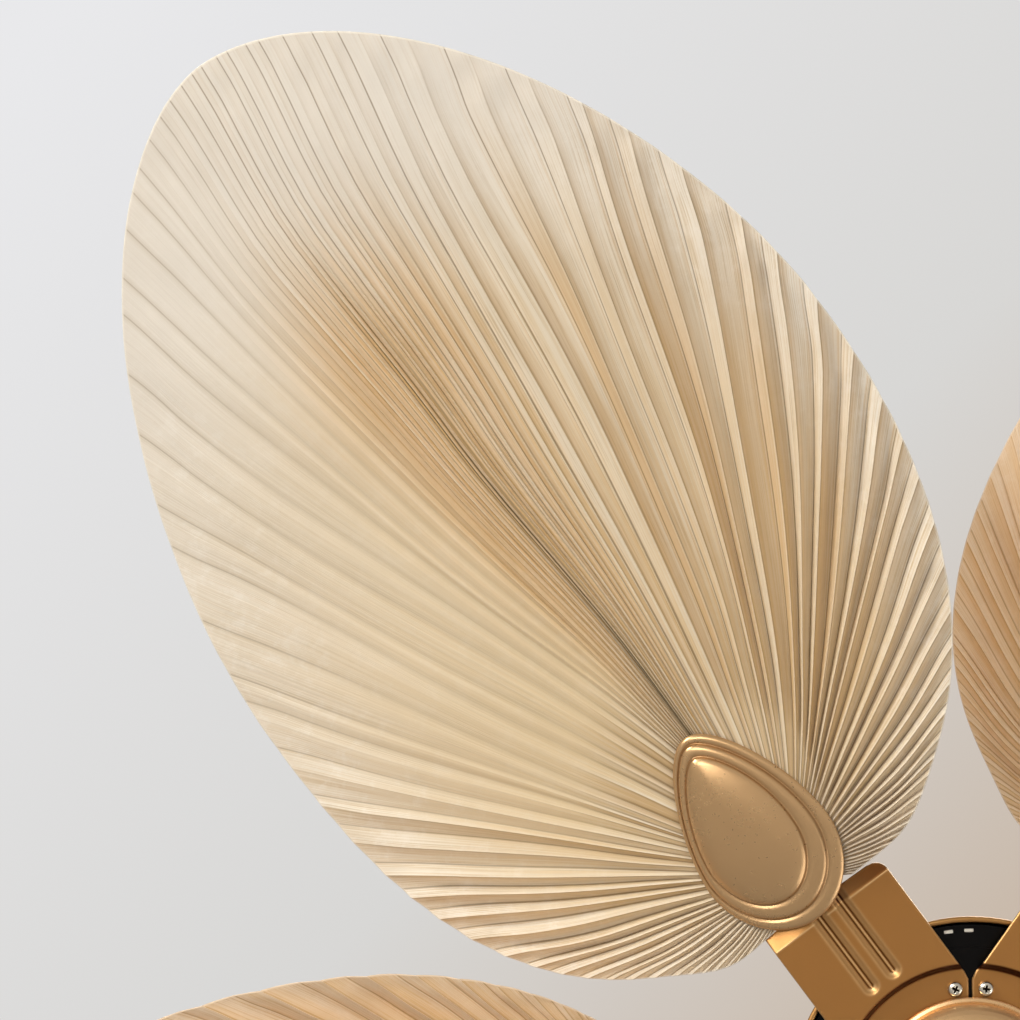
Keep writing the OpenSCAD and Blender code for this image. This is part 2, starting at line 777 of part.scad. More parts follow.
// Domed cap with a beaded rim. Its boss pushes onto the end of the shaft.
module hub_cap(side) {
    r = cap_d / 2;
    boss_low = cap_low_z + cap_wall / 2;
    color([0.72, 0.53, 0.3]) at_head(side) difference() {
        union() {
            rotate_extrude() polygon(concat(
                [[r - cap_bead_w, cap_rim_z], [r, cap_rim_z - 1.2], [r - 0.4, cap_rim_z - cap_bead_h]],
                [[r - cap_bead_w, cap_rim_z - cap_bead_h - 0.6]],
                [for (a = [0 : 6 : 84]) cap_point(a, 0)],
                [[0, cap_low_z], [0, cap_low_z + cap_wall]],
                [for (a = [84 : -6 : 0]) cap_point(a, cap_wall)],
                [[r - 3.4 - cap_wall, cap_rim_z]]
            ));
            translate([0, 0, boss_low])
                cylinder(r = shaft_d / 2 + cap_boss_wall, h = cap_boss_z - boss_low);
        }
        translate([0, 0, shaft_low_z - seat_gap]) cylinder(r = shaft_d / 2 + fit, h = cap_h);
        translate([0, 0, cap_low_z - 1]) cylinder(r = shaft_bore_d / 2 + fit, h = cap_h);
    }
}

// Round nut whose stud goes up inside the shaft and holds the cap
module cap_nut(side) {
    face_z = cap_low_z - seat_gap;
    color([0.72, 0.53, 0.3]) at_head(side) {
        translate([0, 0, face_z - 1]) cylinder(r = shaft_bore_d / 2 - seat_gap, h = cap_h - 4);
        rotate_extrude() polygon(concat(
            [[0, face_z], [nut_r, face_z]],
            [for (a = [0 : 10 : 80]) [nut_r * cos(a), face_z - nut_rim - nut_dome * sin(a)]],
            [[0, face_z - nut_rim - nut_dome]]
        ));
    }
}

// ---------------------------------------------------------------- blade screws

module foot_screw_spots() {
    for (turn = [-foot_screw_turn, foot_screw_turn]) {
        rotate([0, 0, turn]) translate([foot_screw_r, 0, 0]) children();
    }
}

// Pan-head cross-slot screw, its head under z = 0 and its shank going up
module screw(shank) {
    head_h = 3.2;
    head_r = screw_head_d / 2;
    cross = [4.2, 0.9, 1.6];
    difference() {
        rotate_extrude() polygon([
            [0, -head_h], [head_r - 1.6, -head_h], [head_r - 0.4, -head_h + 0.9],
            [head_r, -head_h + 2], [head_r, 0], [0, 0]
        ]);
        for (turn = [0, 90]) {
            rotate([0, 0, turn]) translate([-cross[0] / 2, -cross[1] / 2, -head_h - 1])
                cube([cross[0], cross[1], cross[2] + 1]);
        }
    }
    translate([0, 0, -eps]) cylinder(r = screw_d / 2, h = shank);
}

// Ten screws hold the arms' feet to the base plate, and three on each blade clamp the medallion
module blade_screws(side) {
    foot_shank = arm_t + base_t - seat_gap;
    clamp_shank = arm_t + leaf_t + 2 * seat_gap + clamp_depth - 0.4;
    for (i = [0 : blades - 1]) {
        color("silver") at_blade(side, i) {
            foot_screw_spots() translate([0, 0, foot_z]) screw(foot_shank);
            pitched() for (spot = clamp_spots) {
                translate([spot[0], spot[1], arm_t - plate_drop]) rotate([180, 0, 0])
                    screw(clamp_shank);
            }
        }
    }
}

// ---------------------------------------------------------------- blade arm

module pitched() {
    rotate([-blade_pitch, 0, 0]) children();
}

foot_in_r = 28;
strip_skin = 0.1;
strip_lap = 1;
strip_round = 3;
groove_t = 7;
groove_start = step_r + arm_t + 4;
groove_inset = 1;
groove_side = 2;
groove_sink = 0.5;

// Plan of an arm: a 72 degree slice round the hub that runs out into a straight strap
module arm_plan(length) {
    half = blade_step / 2;
    setback = foot_slit / 2 / sin(half);
    difference() {
        intersection() {
            translate([setback, 0]) polygon([
                [0, 0], [2 * length * cos(half), -2 * length * sin(half)],
                [2 * length * cos(half), 2 * length * sin(half)]
            ]);
            translate([0, -arm_w / 2]) square([length, arm_w]);
        }
        circle(r = foot_in_r);
    }
}

// Blade arm pressed from one sheet: raised foot, ring step, strap with two grooves, twisted strip
// and the pitched plate that the leaf is clamped under
module arm(side, i) {
    groove_len = bend_start - groove_inset - groove_start;
    color([0.62, 0.44, 0.24]) at_blade(side, i) difference() {
        union() {
            translate([0, 0, foot_z]) linear_extrude(height = arm_t) intersection() {
                arm_plan(bend_start);
                circle(r = step_r + arm_t);
            }
            linear_extrude(height = foot_z + eps) intersection() {
                arm_plan(bend_start);
                difference() {
                    circle(r = step_r + arm_t);
                    circle(r = step_r);
                }
            }
            linear_extrude(height = arm_t) difference() {
                arm_plan(bend_start);
                circle(r = step_r);
            }
            for (half = [-1, 1]) {
                hull() {
                    translate([bend_start - strip_skin, 0, 0]) strip_edge(half, arm_w / 2);
                    pitched() translate([bend_end, 0, -plate_drop])
                        strip_edge(half, arm_w / 2 - strip_round);
                }
            }
            pitched() translate([0, 0, -plate_drop]) linear_extrude(height = arm_t) outer_plate();
        }
        for (t = [-groove_t, groove_t]) {
            translate([groove_start, t, -groove_sink]) rotate([45, 0, 0])
                translate([0, -groove_side / 2, -groove_side / 2])
                    cube([groove_len, groove_side, groove_side]);
        }
        foot_screw_spots() translate([0, 0, foot_z - 1]) cylinder(r = thread_hole_r, h = arm_t + 2);
        pitched() for (spot = clamp_spots) {
            translate([spot[0], spot[1], -plate_drop - 1]) cylinder(r = clamp_hole_r, h = arm_t + 2);
        }
    }
}

// One end of a half of the twisted strip. The two halves lap over the middle line.
module strip_edge(half, w) {
    translate([0, half > 0 ? -strip_lap : -w, 0]) cube([strip_skin, w + strip_lap, arm_t]);
}

module outer_plate() {
    neck_w = arm_w - 22;
    translate([bend_end, -medallion_side - neck_w / 2]) square([medallion_belly - bend_len, neck_w]);
    intersection() {
        translate([bend_end, -arm_w]) square([2 * medallion_len, 2 * arm_w]);
        teardrop(plate_inset);
    }
}

// ---------------------------------------------------------------- medallion

// Teardrop seen in plan, round end toward the hub, drawn in by inset all round
module teardrop(inset) {
    half = medallion_w / 2 - inset;
    belly = medallion_start + medallion_belly;
    back = medallion_belly - inset;
    front = medallion_len - medallion_belly - inset;
    polygon([for (a = [0 : 10 : 350])
        let (
            tipward = a < 90 || a > 270,
            along = tipward ? front * power_arc(90 - a, 2.1) : back * cos(a),
            across = half * (tipward ? power_arc(a, 1.5) : sin(a)),
            lean = medallion_lean * max(along, 0) / front
        )
        [belly + along, across - medallion_side - lean]]);
}

// Pressed medallions, one under each leaf: a flange, a ring and a dome, hollow behind, with a
// threaded boss over each clamping screw
module medallions(side) {
    low_z = medallion_top_z - 2 * medallion_step - medallion_dome;
    for (i = [0 : blades - 1]) {
        color([0.76, 0.58, 0.36]) at_blade(side, i) pitched() difference() {
            union() {
                difference() {
                    medallion_layers(0);
                    translate([0, 0, medallion_wall]) medallion_layers(medallion_wall);
                }
                intersection() {
                    for (spot = clamp_spots) {
                        translate([spot[0], spot[1], low_z])
                            cylinder(r = boss_r, h = medallion_top_z - low_z);
                    }
                    medallion_layers(medallion_wall / 2);
                }
            }
            for (spot = clamp_spots) {
                translate([spot[0], spot[1], medallion_top_z - clamp_depth])
                    cylinder(r = thread_hole_r, h = 2 * clamp_depth);
            }
        }
    }
}

module medallion_layers(inset) {
    z1 = medallion_top_z - medallion_step;
    z2 = z1 - medallion_step;
    translate([0, 0, z1]) linear_extrude(height = medallion_step) teardrop(inset);
    translate([0, 0, z2]) linear_extrude(height = medallion_step + eps) teardrop(medallion_ledge + inset);
    translate([0, 0, z2 - medallion_dome / 2])
        linear_extrude(height = medallion_dome / 2 + eps) teardrop(2 * medallion_ledge + inset);
    translate([0, 0, z2 - medallion_dome])
        linear_extrude(height = medallion_dome / 2 + eps) teardrop(3 * medallion_ledge + inset);
}

// ---------------------------------------------------------------- leaf

folds = 2 * pleats;
fold_end_turn = 170.5;
fan_half_turn = 111;
pull_out = 0.09;
pull_in = 0.82;
clamp_mid = [medallion_start + medallion_len / 2 + 2, -medallion_side - 1];
clamp_half = [medallion_len / 2 + 6, medallion_w / 2 + 4];

// Edge of a leaf, as four quarter arcs: turn is 0 at the tip and 180 at the base,
// negative on the side that lifts
function leaf_edge(turn) =
    let (
        low = turn > 0,
        belly = low ? leaf_low_belly : leaf_high_belly,
        half = low ? leaf_low_half : leaf_high_half,
        tipward = abs(turn) < 90,
        base_power = low ? base_power_low : base_power_high,
        power = tipward ? tip_power : base_power,
        reach = tipward ? leaf_len - belly : belly
    )
    [leaf_start + belly + reach * power_arc(90 - turn, power), half * power_arc(turn, power)];

// Where the ray from the fold root meets the clamped oval, at an angle from the arm
function clamp_edge(angle) =
    let (
        from = [for (k = [0, 1]) (fold_root[k] - clamp_mid[k]) / clamp_half[k]],
        step = [cos(angle) / clamp_half[0], sin(angle) / clamp_half[1]],
        a = step * step,
        b = from * step,
        c = from * from - 1,
        reach = (-b + sqrt(b * b - a * c)) / a
    )
    fold_root + reach * [cos(angle), sin(angle)];

// A fold line leaves the clamp and bends away from the midrib on its way to the edge
function fold_point(j, share) =
    let (
        across = 2 * j / folds - 1,
        start = clamp_edge(across * fan_half_turn),
        end = leaf_edge(across * fold_end_turn),
        mid = (start + end) / 2,
        pull = [mid[0] + pull_out * norm(end - start), mid[1] * pull_in]
    )
    pow(1 - share, 2) * start + 2 * share * (1 - share) * pull + share * share * end;

function fold_inner(j) =
    let (angle = (2 * j / folds - 1) * fan_half_turn)
    fold_root + fold_in * [cos(angle), sin(angle)];

// The leaf is two pleated skins, leaf_t apart, joined all round. Row 0 is the ring at the root.
function leaf_skin(lift) = concat(
    [for (j = [0 : folds]) [fold_inner(j)[0], fold_inner(j)[1], lift]],
    [for (row = [0 : len(fold_rows) - 1], j = [0 : folds])
        let (
            spot = fold_point(j, fold_rows[row]),
            wave = (j % 2 == 0 ? 1 : -1) * fold_swell[row] * pleat_depth / 2
        )
        [spot[0], spot[1], lift + wave]]
);

function split(a, b, c, d) = [[a, b, c], [a, c, d]];

module leaf_sheet() {
    rows = len(fold_rows) + 1;
    line = folds + 1;
    sheet = rows * line;
    last = rows - 1;
    faces = concat(
        [for (i = [0 : last - 1], j = [0 : folds - 1])
            each split(sheet + i * line + j, sheet + i * line + j + 1,
                       sheet + (i + 1) * line + j + 1, sheet + (i + 1) * line + j)],
        [for (i = [0 : last - 1], j = [0 : folds - 1])
            each split(i * line + j, (i + 1) * line + j, (i + 1) * line + j + 1, i * line + j + 1)],
        [for (j = [0 : folds - 1])
            each split(sheet + last * line + j, sheet + last * line + j + 1,
                       last * line + j + 1, last * line + j)],
        [for (j = [0 : folds - 1]) each split(sheet + j + 1, sheet + j, j, j + 1)],
        [for (i = [0 : last - 1])
            each split(sheet + i * line, sheet + (i + 1) * line, (i + 1) * line, i * line)],
        [for (i = [0 : last - 1])
            each split(sheet + (i + 1) * line + folds, sheet + i * line + folds,
                       i * line + folds, (i + 1) * line + folds)]
    );
    polyhedron(points = concat(leaf_skin(-leaf_t / 2), leaf_skin(leaf_t / 2)), faces = faces);
}

// Dried palm leaf, pleated from its root and trimmed to an oval
module leaf(side, i) {
    color([0.9, 0.82, 0.66]) at_blade(side, i) pitched() translate([0, 0, leaf_mid_z]) difference() {
        leaf_sheet();
        for (spot = clamp_spots) {
            translate([spot[0], spot[1], -leaf_t]) cylinder(r = clamp_hole_r, h = 2 * leaf_t);
        }
    }
}

// ---------------------------------------------------------------- nodes

hanger_bracket();
canopy();
canopy_screws();
receiver_box();
hanger_ball();
downrod();
centre_tee();
cross_bar();
bar_caps();
cross_pins();
fork(-1);  // left_fork
fork(1);  // right_fork
tilt_bolt(-1);  // left_tilt_bolt
tilt_bolt(1);  // right_tilt_bolt
tilt_knob(-1);  // left_tilt_knob
tilt_knob(1);  // right_tilt_knob
stem(-1);  // left_stem
stem(1);  // right_stem
motor_shaft(-1);  // left_motor_shaft
motor_shaft(1);  // right_motor_shaft
stator_core(-1);  // left_stator_core
stator_core(1);  // right_stator_core
stator_coils(-1);  // left_stator_coils
stator_coils(1);  // right_stator_coils
bearings(-1);  // left_bearings
bearings(1);  // right_bearings
rotor_drum(-1);  // left_rotor_drum
rotor_drum(1);  // right_rotor_drum
rotor_base(-1);  // left_rotor_base
rotor_base(1);  // right_rotor_base
motor_housing(-1);  // left_motor_housing
motor_housing(1);  // right_motor_housing
hub_cap(-1);  // left_hub_cap
hub_cap(1);  // right_hub_cap
cap_nut(-1);  // left_cap_nut
cap_nut(1);  // right_cap_nut
blade_screws(-1);  // left_blade_screws
blade_screws(1);  // right_blade_screws
medallions(-1);  // left_medallions
medallions(1);  // right_medallions
for (i = [0 : blades - 1]) {
    arm(-1, i);
    arm(1, i);
    leaf(-1, i);
    leaf(1, i);
}
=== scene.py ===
"""Looks of the twin head ceiling fan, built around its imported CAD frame, in metres.

The fan hangs from the ceiling at z = 0, its bar runs along X, and each head carries five pleated
palm-leaf blades. The photographed head is the left one, seen from straight below.
"""
import json
import math

import bpy
import numpy as np
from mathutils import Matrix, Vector


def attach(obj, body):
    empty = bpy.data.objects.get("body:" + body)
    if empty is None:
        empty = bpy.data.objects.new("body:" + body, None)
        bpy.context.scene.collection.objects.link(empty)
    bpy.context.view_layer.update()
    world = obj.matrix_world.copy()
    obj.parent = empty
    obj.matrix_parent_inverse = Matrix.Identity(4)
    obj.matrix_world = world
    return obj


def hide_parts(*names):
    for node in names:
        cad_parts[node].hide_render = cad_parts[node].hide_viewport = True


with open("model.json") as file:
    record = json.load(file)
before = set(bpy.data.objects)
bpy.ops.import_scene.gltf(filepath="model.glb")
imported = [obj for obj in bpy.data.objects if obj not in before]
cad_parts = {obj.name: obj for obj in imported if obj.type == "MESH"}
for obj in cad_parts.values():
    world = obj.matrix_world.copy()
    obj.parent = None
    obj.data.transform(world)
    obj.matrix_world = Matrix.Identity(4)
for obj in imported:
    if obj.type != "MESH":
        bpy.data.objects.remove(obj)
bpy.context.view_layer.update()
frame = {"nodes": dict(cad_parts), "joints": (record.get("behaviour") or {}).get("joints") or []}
scene = bpy.context.scene

# ------------------------------------------------------------------ camera
# The photograph looks straight up at the left head, square to the ceiling. One of its pixels is
# 0.517 mm at the hub's height, which sets the lens, and the hub's axis is below its lower edge.
PIXEL = 0.000517
PICTURE = 1020
CENTRE = PICTURE / 2
HUB_PIXEL = (973.4, 1100.3)
CAMERA_DROP = 2.0
HUB = {side: Vector(joint["pos_m"]) for joint in frame["joints"] for side in ("left", "right")
       if joint["name"] == side + "_spin"}

camera = bpy.data.objects.new("camera", bpy.data.cameras.new("camera"))
camera.location = HUB["left"] + Vector((
    (CENTRE - HUB_PIXEL[0]) * PIXEL, (CENTRE - HUB_PIXEL[1]) * PIXEL, -CAMERA_DROP))
camera.rotation_euler = (math.pi, 0, 0)
camera.data.sensor_width = 36
camera.data.lens = 36 * CAMERA_DROP / (PICTURE * PIXEL)
camera.data.clip_end = 100
scene.collection.objects.link(camera)
scene.camera = camera
scene.view_settings.view_transform = "Standard"


# ------------------------------------------------------------------ light and room
# A big soft lamp below the fan, toward the picture's upper left, gives every fold a lit side, and
# weaker ones fill in from the other side and from above. The room is pale, and the backdrop that
# the camera sees has the ceiling's light and shade painted on it: paler and cooler at the picture's
# upper left, and warmer by the hub with painted warm light bounced from the fan.
def linear(code):
    """An sRGB hex colour as linear red, green, blue and alpha."""
    parts = [int(code[k:k + 2], 16) / 255 for k in (1, 3, 5)]
    return tuple(c / 12.92 if c <= 0.04045 else ((c + 0.055) / 1.055) ** 2.4 for c in parts) + (1,)


def add(tree, kind, settings=None, inputs=None):
    """Adds a shader node. An input is a plain value, or another node's output to link from."""
    node = tree.nodes.new("ShaderNode" + kind)
    for key, value in (settings or {}).items():
        setattr(node, key, value)
    for key, value in (inputs or {}).items():
        if isinstance(value, bpy.types.NodeSocket):
            tree.links.new(value, node.inputs[key])
        else:
            node.inputs[key].default_value = value
    return node


def lamp(name, place, aim, size, watts, colour):
    """A square lamp, size metres wide, that the camera doesn't see."""
    data = bpy.data.lights.new(name, "AREA")
    data.size, data.energy, data.color = size, watts, linear(colour)[:3]
    light = bpy.data.objects.new(name, data)
    light.location = place
    light.rotation_euler = (Vector(aim) - Vector(place)).to_track_quat("-Z", "Y").to_euler()
    light.visible_camera = False
    scene.collection.objects.link(light)
    return light


lamp("key_lamp", (-3.7, -2.7, -2.1), (-0.9, -0.2, -0.5), 1.4, 114, "#fdf7ec")
lamp("fill_lamp", (1.6, 1.2, -2.6), (-0.3, 0.0, -0.4), 2.4, 47, "#fdf7ee")
lamp("top_lamp", (0.8, -1.6, 3.2), (0.0, 0.0, -0.4), 3.0, 165, "#ffffff")
# This one puts a glint on painted and plated metal, and lights nothing else
shine = lamp("shine_lamp", (-1.55, -1.09, -2.5), (-0.85, -0.15, -0.56), 0.8, 15, "#fff8ee")
shine.visible_diffuse = False

# The camera sees greys, the ceiling's painted light and shade, that blend along X + Y of its
# direction, and all else sees one even grey
ROOM_LIGHT = 0.39
world = bpy.data.worlds.new("room")
world.use_nodes = True
world.node_tree.nodes.clear()
room = world.node_tree
direction = add(room, "SeparateXYZ", inputs={0: add(room, "TexCoord").outputs["Generated"]})
slant = add(room, "Math", {"operation": "ADD"}, {0: direction.outputs[0], 1: direction.outputs[1]})
seen = None
for start, end, colour in ((-0.24, 0.07, "#d8d7d5"), (0.07, 0.23, "#c9baab"),
                           (0.26, 0.6, "#dcd9d5")):
    share = add(room, "MapRange", inputs={
        "Value": slant.outputs[0], "From Min": start, "From Max": end}).outputs[0]
    seen = add(room, "Mix", {"data_type": "RGBA"}, {
        0: share, 6: seen.outputs[2] if seen else linear("#e9e9eb"), 7: linear(colour)})
shown = add(room, "Background", inputs={"Color": seen.outputs[2], "Strength": 1.0})
lit = add(room, "Background", inputs={"Color": linear("#f4f2f0"), "Strength": ROOM_LIGHT})
which = add(room, "MixShader", inputs={
    0: add(room, "LightPath").outputs["Is Camera Ray"], 1: lit.outputs[0], 2: shown.outputs[0]})
add(room, "OutputWorld", inputs={"Surface": which.outputs[0]})
scene.world = world

# The floor is lifted for the eye only, so that it looks pale and adds no light of its own
FLOOR_Z, FLOOR_WIDE, FLOOR_LIFT = -2.75, 60, 0.34
bpy.ops.mesh.primitive_plane_add(size=FLOOR_WIDE, location=(0, 0, FLOOR_Z))
floor = bpy.context.object
floor.name = "floor"
floor_paint = bpy.data.materials.new("pale_floor")
floor_paint.use_nodes = True
concrete = floor_paint.node_tree.nodes["Principled BSDF"]
concrete.inputs["Base Color"].default_value = linear("#dcd8d2")
concrete.inputs["Roughness"].default_value = 0.9
concrete.inputs["Emission Color"].default_value = linear("#e4e2de")
lifted = add(floor_paint.node_tree, "Math", {"operation": "MULTIPLY"}, {
    0: add(floor_paint.node_tree, "LightPath").outputs["Is Camera Ray"], 1: FLOOR_LIFT})
floor_paint.node_tree.links.new(lifted.outputs[0], concrete.inputs["Emission Strength"])
floor.data.materials.append(floor_paint)


# ------------------------------------------------------------------ hanger bracket and fasteners
# The bracket is folded from zinc-plated steel sheet and screwed to the ceiling box. The same
# plating is on its screws, the cross pins, the tilt bolts, the shafts and the bearing rings.
def solid(name, colour, other, metallic, rough, patch_mm, grain_mm, bump_mm, squeeze=(1, 1, 1),
          marks=()):
    """A hard surface: its colour drifts from colour to other over patches, its roughness runs
    between the two values of rough, and grain of grain_mm stands bump_mm high. squeeze below 1
    draws both patterns out along that axis. Each of marks is an attribute and the colour that the
    surface turns to where the attribute is 1."""
    material = bpy.data.materials.new(name)
    material.use_nodes = True
    tree = material.node_tree
    surface = tree.nodes["Principled BSDF"]
    surface.inputs["Metallic"].default_value = metallic
    place = add(tree, "Mapping", inputs={
        "Vector": add(tree, "TexCoord").outputs["Object"], "Scale": squeeze})
    patch = add(tree, "TexNoise", inputs={
        "Vector": place.outputs[0], "Scale": 1000 / patch_mm, "Detail": 3.0})
    grain = add(tree, "TexNoise", inputs={
        "Vector": place.outputs[0], "Scale": 1000 / grain_mm, "Detail": 2.0})
    blend = add(tree, "Mix", {"data_type": "RGBA"}, {
        0: patch.outputs[0], 6: linear(colour), 7: linear(other)})
    for attribute, tint in marks:
        blend = add(tree, "Mix", {"data_type": "RGBA"}, {
            0: add(tree, "Attribute", {"attribute_name": attribute}).outputs["Fac"],
            6: blend.outputs[2], 7: linear(tint)})
    both = add(tree, "Math", {"operation": "MULTIPLY_ADD"}, {
        0: grain.outputs[0], 1: 0.5, 2: add(tree, "Math", {"operation": "MULTIPLY"}, {
            0: patch.outputs[0], 1: 0.5}).outputs[0]})
    dull = add(tree, "MapRange", inputs={
        "Value": both.outputs[0], "From Min": 0.3, "From Max": 0.7,
        "To Min": rough[0], "To Max": rough[1]})
    bump = add(tree, "Bump", inputs={
        "Height": grain.outputs[0], "Distance": bump_mm / 1000, "Strength": 1.0})
    tree.links.new(blend.outputs[2], surface.inputs["Base Color"])
    tree.links.new(dull.outputs[0], surface.inputs["Roughness"])
    tree.links.new(bump.outputs[0], surface.inputs["Normal"])
    return material


def dress(material, *names):
    """Gives CAD nodes a material."""
    for name in names:
        node = frame["nodes"][name]
        if not node.material_slots:
            node.data.materials.append(material)
        for slot in node.material_slots:
            slot.material = material


# Zinc plating: a cool, slightly yellowed grey with soft handling marks and a fine rolled grain
zinc = solid("zinc_plated_steel", "#b9b6ae", "#a39f94", 1.0, (0.22, 0.4), 18, 0.7, 0.01)
dress(zinc, "hanger_bracket", "canopy_screws", "cross_pins")
for side in HUB:
    dress(zinc, side + "_tilt_bolt", side + "_motor_shaft", side + "_bearings")

# ------------------------------------------------------------------ receiver and hanger ball
# The remote control's receiver is a small case of black plastic taped under the bracket's plate.
# The ball is moulded in white nylon, so that the rod can swing without a squeak.
dress(solid("black_plastic", "#1b1b1c", "#242425", 0.0, (0.45, 0.6), 30, 0.5, 0.03), "receiver_box")
dress(solid("white_nylon", "#dddbd2", "#d2cfc4", 0.0, (0.3, 0.42), 25, 1.2, 0.01), "hanger_ball")

# ------------------------------------------------------------------ canopy, rod and bar
# Spun and drawn steel, sprayed with a satin bronze-gold metallic paint: a warm brown gold whose
# flakes glitter finely, over the slight orange peel of a sprayed coat.
bronze_gold = solid("bronze_gold_paint", "#b88a52", "#ad7f48", 0.78, (0.3, 0.42), 60, 0.5, 0.006)
dress(bronze_gold, "canopy", "downrod", "cross_bar", "bar_caps")

# ------------------------------------------------------------------ tee, forks, stems and knobs
# Die-cast aluminium under the same paint. The casting's skin shows through as a coarser, softer
# grain, and the paint is a little duller on it.
cast_gold = solid("gold_painted_casting", "#b3854e", "#a57843", 0.72, (0.38, 0.52), 40, 1.6, 0.03)
dress(cast_gold, "centre_tee")
for side in HUB:
    dress(cast_gold, side + "_fork", side + "_stem", side + "_tilt_knob")

# ------------------------------------------------------------------ motor
# Inside the sheet housing: a stack of bare electrical steel sheets, copper windings, and a drum
# and base plate under smooth black paint. The base plate is the part that shows from below.
# The paint swallows the light, the core shows fine layers and the coils show fine turns of wire.
black_paint = solid("black_paint", "#050405", "#080607", 0.0, (0.25, 0.36), 50, 0.8, 0.004)
black_paint.node_tree.nodes["Principled BSDF"].inputs["Specular IOR Level"].default_value = 0.12
core_steel = solid("laminated_steel", "#6e7074", "#585a5e", 1.0, (0.4, 0.55), 12, 0.5, 0.05,
                   squeeze=(0.1, 0.1, 1))
copper = solid("copper_wire", "#b8683a", "#8f4a26", 1.0, (0.25, 0.4), 8, 0.7, 0.08,
               squeeze=(0.15, 0.15, 1))
for side in HUB:
    dress(bronze_gold, side + "_motor_housing")
    dress(black_paint, side + "_rotor_drum", side + "_rotor_base")
    dress(core_steel, side + "_stator_core")
    dress(copper, side + "_stator_coils")

# ------------------------------------------------------------------ hub cap and its nut
# The cap is spun from sheet and painted a lighter champagne gold than the arms. The nut that
# holds it is turned and painted with it. The paint is smooth, with a soft sheen on its rims.
cap_paint = solid("spun_cap_champagne_paint", "#e6c090", "#d9b080", 0.66, (0.25, 0.34), 45,
                  0.45, 0.004)
for side in HUB:
    dress(cap_paint, side + "_hub_cap", side + "_cap_nut")


# ------------------------------------------------------------------ blade arms
# Each arm is pressed from one steel sheet, 2.5 mm thick: a raised foot that its two screws hold to
# the base plate, a step round the hub, a strap with two pressed grooves, and a strip that twists
# to the blade's pitch and runs on as the plate over the leaf. All of it is in mm and degrees.
FIRST_TURN, STEP_TURN = 89.1, 72.0
PITCH = 12.0


def placed(points, side, number, pitched):
    """Points in mm of a blade's own frame (out along the arm, across, up) in the part's frame.
    pitched turns them about the arm first, the +Y side down."""
    x, y, z = np.moveaxis(np.asarray(points, float) / 1000, -1, 0)
    if pitched:
        c, s = math.cos(math.radians(PITCH)), math.sin(math.radians(PITCH))
        y, z = y * c + z * s, z * c - y * s
    turn = math.radians(FIRST_TURN + STEP_TURN * (number - 1))
    c, s = math.cos(turn), math.sin(turn)
    hub = HUB[side]
    return np.stack([x * c - y * s + hub.x, x * s + y * c + hub.y, z + hub.z], -1)


def sheet(name, low, high, wrap=False, sharp=(), values=None):
    """A closed sheet between two grids of points, low (seen from below) and high, of the same
    rows and columns, or one such sheet for each copy along a first axis. wrap joins the last
    column to the first and caps the ends. sharp names the columns that stay creased, and values
    gives per-point attributes by name."""
    low, high = (grid.reshape((-1,) + grid.shape[-3:]) for grid in (low, high))
    copies, rows, columns = low.shape[:3]
    count = rows * columns
    here = np.arange(count).reshape(rows, columns)
    after = np.roll(here, -1, 1) if wrap else here[:, 1:]
    here = here if wrap else here[:, :-1]
    under = np.stack([c.ravel() for c in (here[:-1], after[:-1], after[1:], here[1:])], -1)
    quads = [under, under[:, ::-1] + count]
    rims = [(here[-1], after[-1], True)]
    if not wrap:
        rims += [(here[0], after[0], False), (here[:-1, 0], here[1:, 0], True),
                 (after[:-1, -1], after[1:, -1], False)]
    for a, b, turned in rims:
        strip = np.stack([b, a, a + count, b + count], -1)
        quads.append(strip[:, ::-1] if turned else strip)
    caps = np.stack([here[0][::-1], here[0] + count]) if wrap else np.zeros((0, 3), int)
    step = 2 * count * np.arange(copies)[:, None, None]
    faces = [f for part in (np.concatenate(quads), caps)
             for f in (part[None] + step).reshape(-1, part.shape[1]).tolist()]
    mesh = bpy.data.meshes.new(name)
    points = np.stack([low.reshape(copies, count, 3), high.reshape(copies, count, 3)], 1)
    mesh.from_pydata(points.reshape(-1, 3).tolist(), [], faces)
    mesh.shade_smooth()
    ends = np.zeros(len(mesh.edges) * 2, np.int32)
    mesh.edges.foreach_get("vertices", ends)
    ends = ends.reshape(-1, 2) % (2 * count)
    layer, column = ends // count, ends % count % columns
    creased = (column[:, 0] == column[:, 1]) & np.isin(column[:, 0], list(sharp))
    rim = layer[:, 0] != layer[:, 1]
    mark = mesh.attributes.new("sharp_edge", "BOOLEAN", "EDGE")
    mark.data.foreach_set("value", creased | rim)
    for key, grid in (values or {}).items():
        data = mesh.attributes.new(key, "FLOAT", "POINT").data
        data.foreach_set("value", np.tile(grid.astype(np.float32).ravel(), 2 * copies))
    piece = bpy.data.objects.new(name, mesh)
    scene.collection.objects.link(piece)
    return piece


def ease(value, start, end):
    """0 before start, 1 after end, and a smooth slope between."""
    share = np.clip((np.asarray(value, float) - start) / (end - start), 0, 1)
    return share * share * (3 - 2 * share)


ARM_IN, ARM_HALF, ARM_THICK = 31.0, 36.5, 2.5
SLIT_HALF = 0.9
STEP_IN, STEP_OUT, STEP_UP = 67.2, 71.0, 5.0
GROOVE_START, GROOVE_ASIDE = 79.0, 7.0
TROUGH_UP, CHANNEL_UP, CHANNEL_MIDDLE = 1.5, 1.2, 0.35
EDGE_ROUND = 0.9
BEND, BEND_END, CORNER_R = 122.0, 131.0, 8.0
PLATE_DROP = 2.0


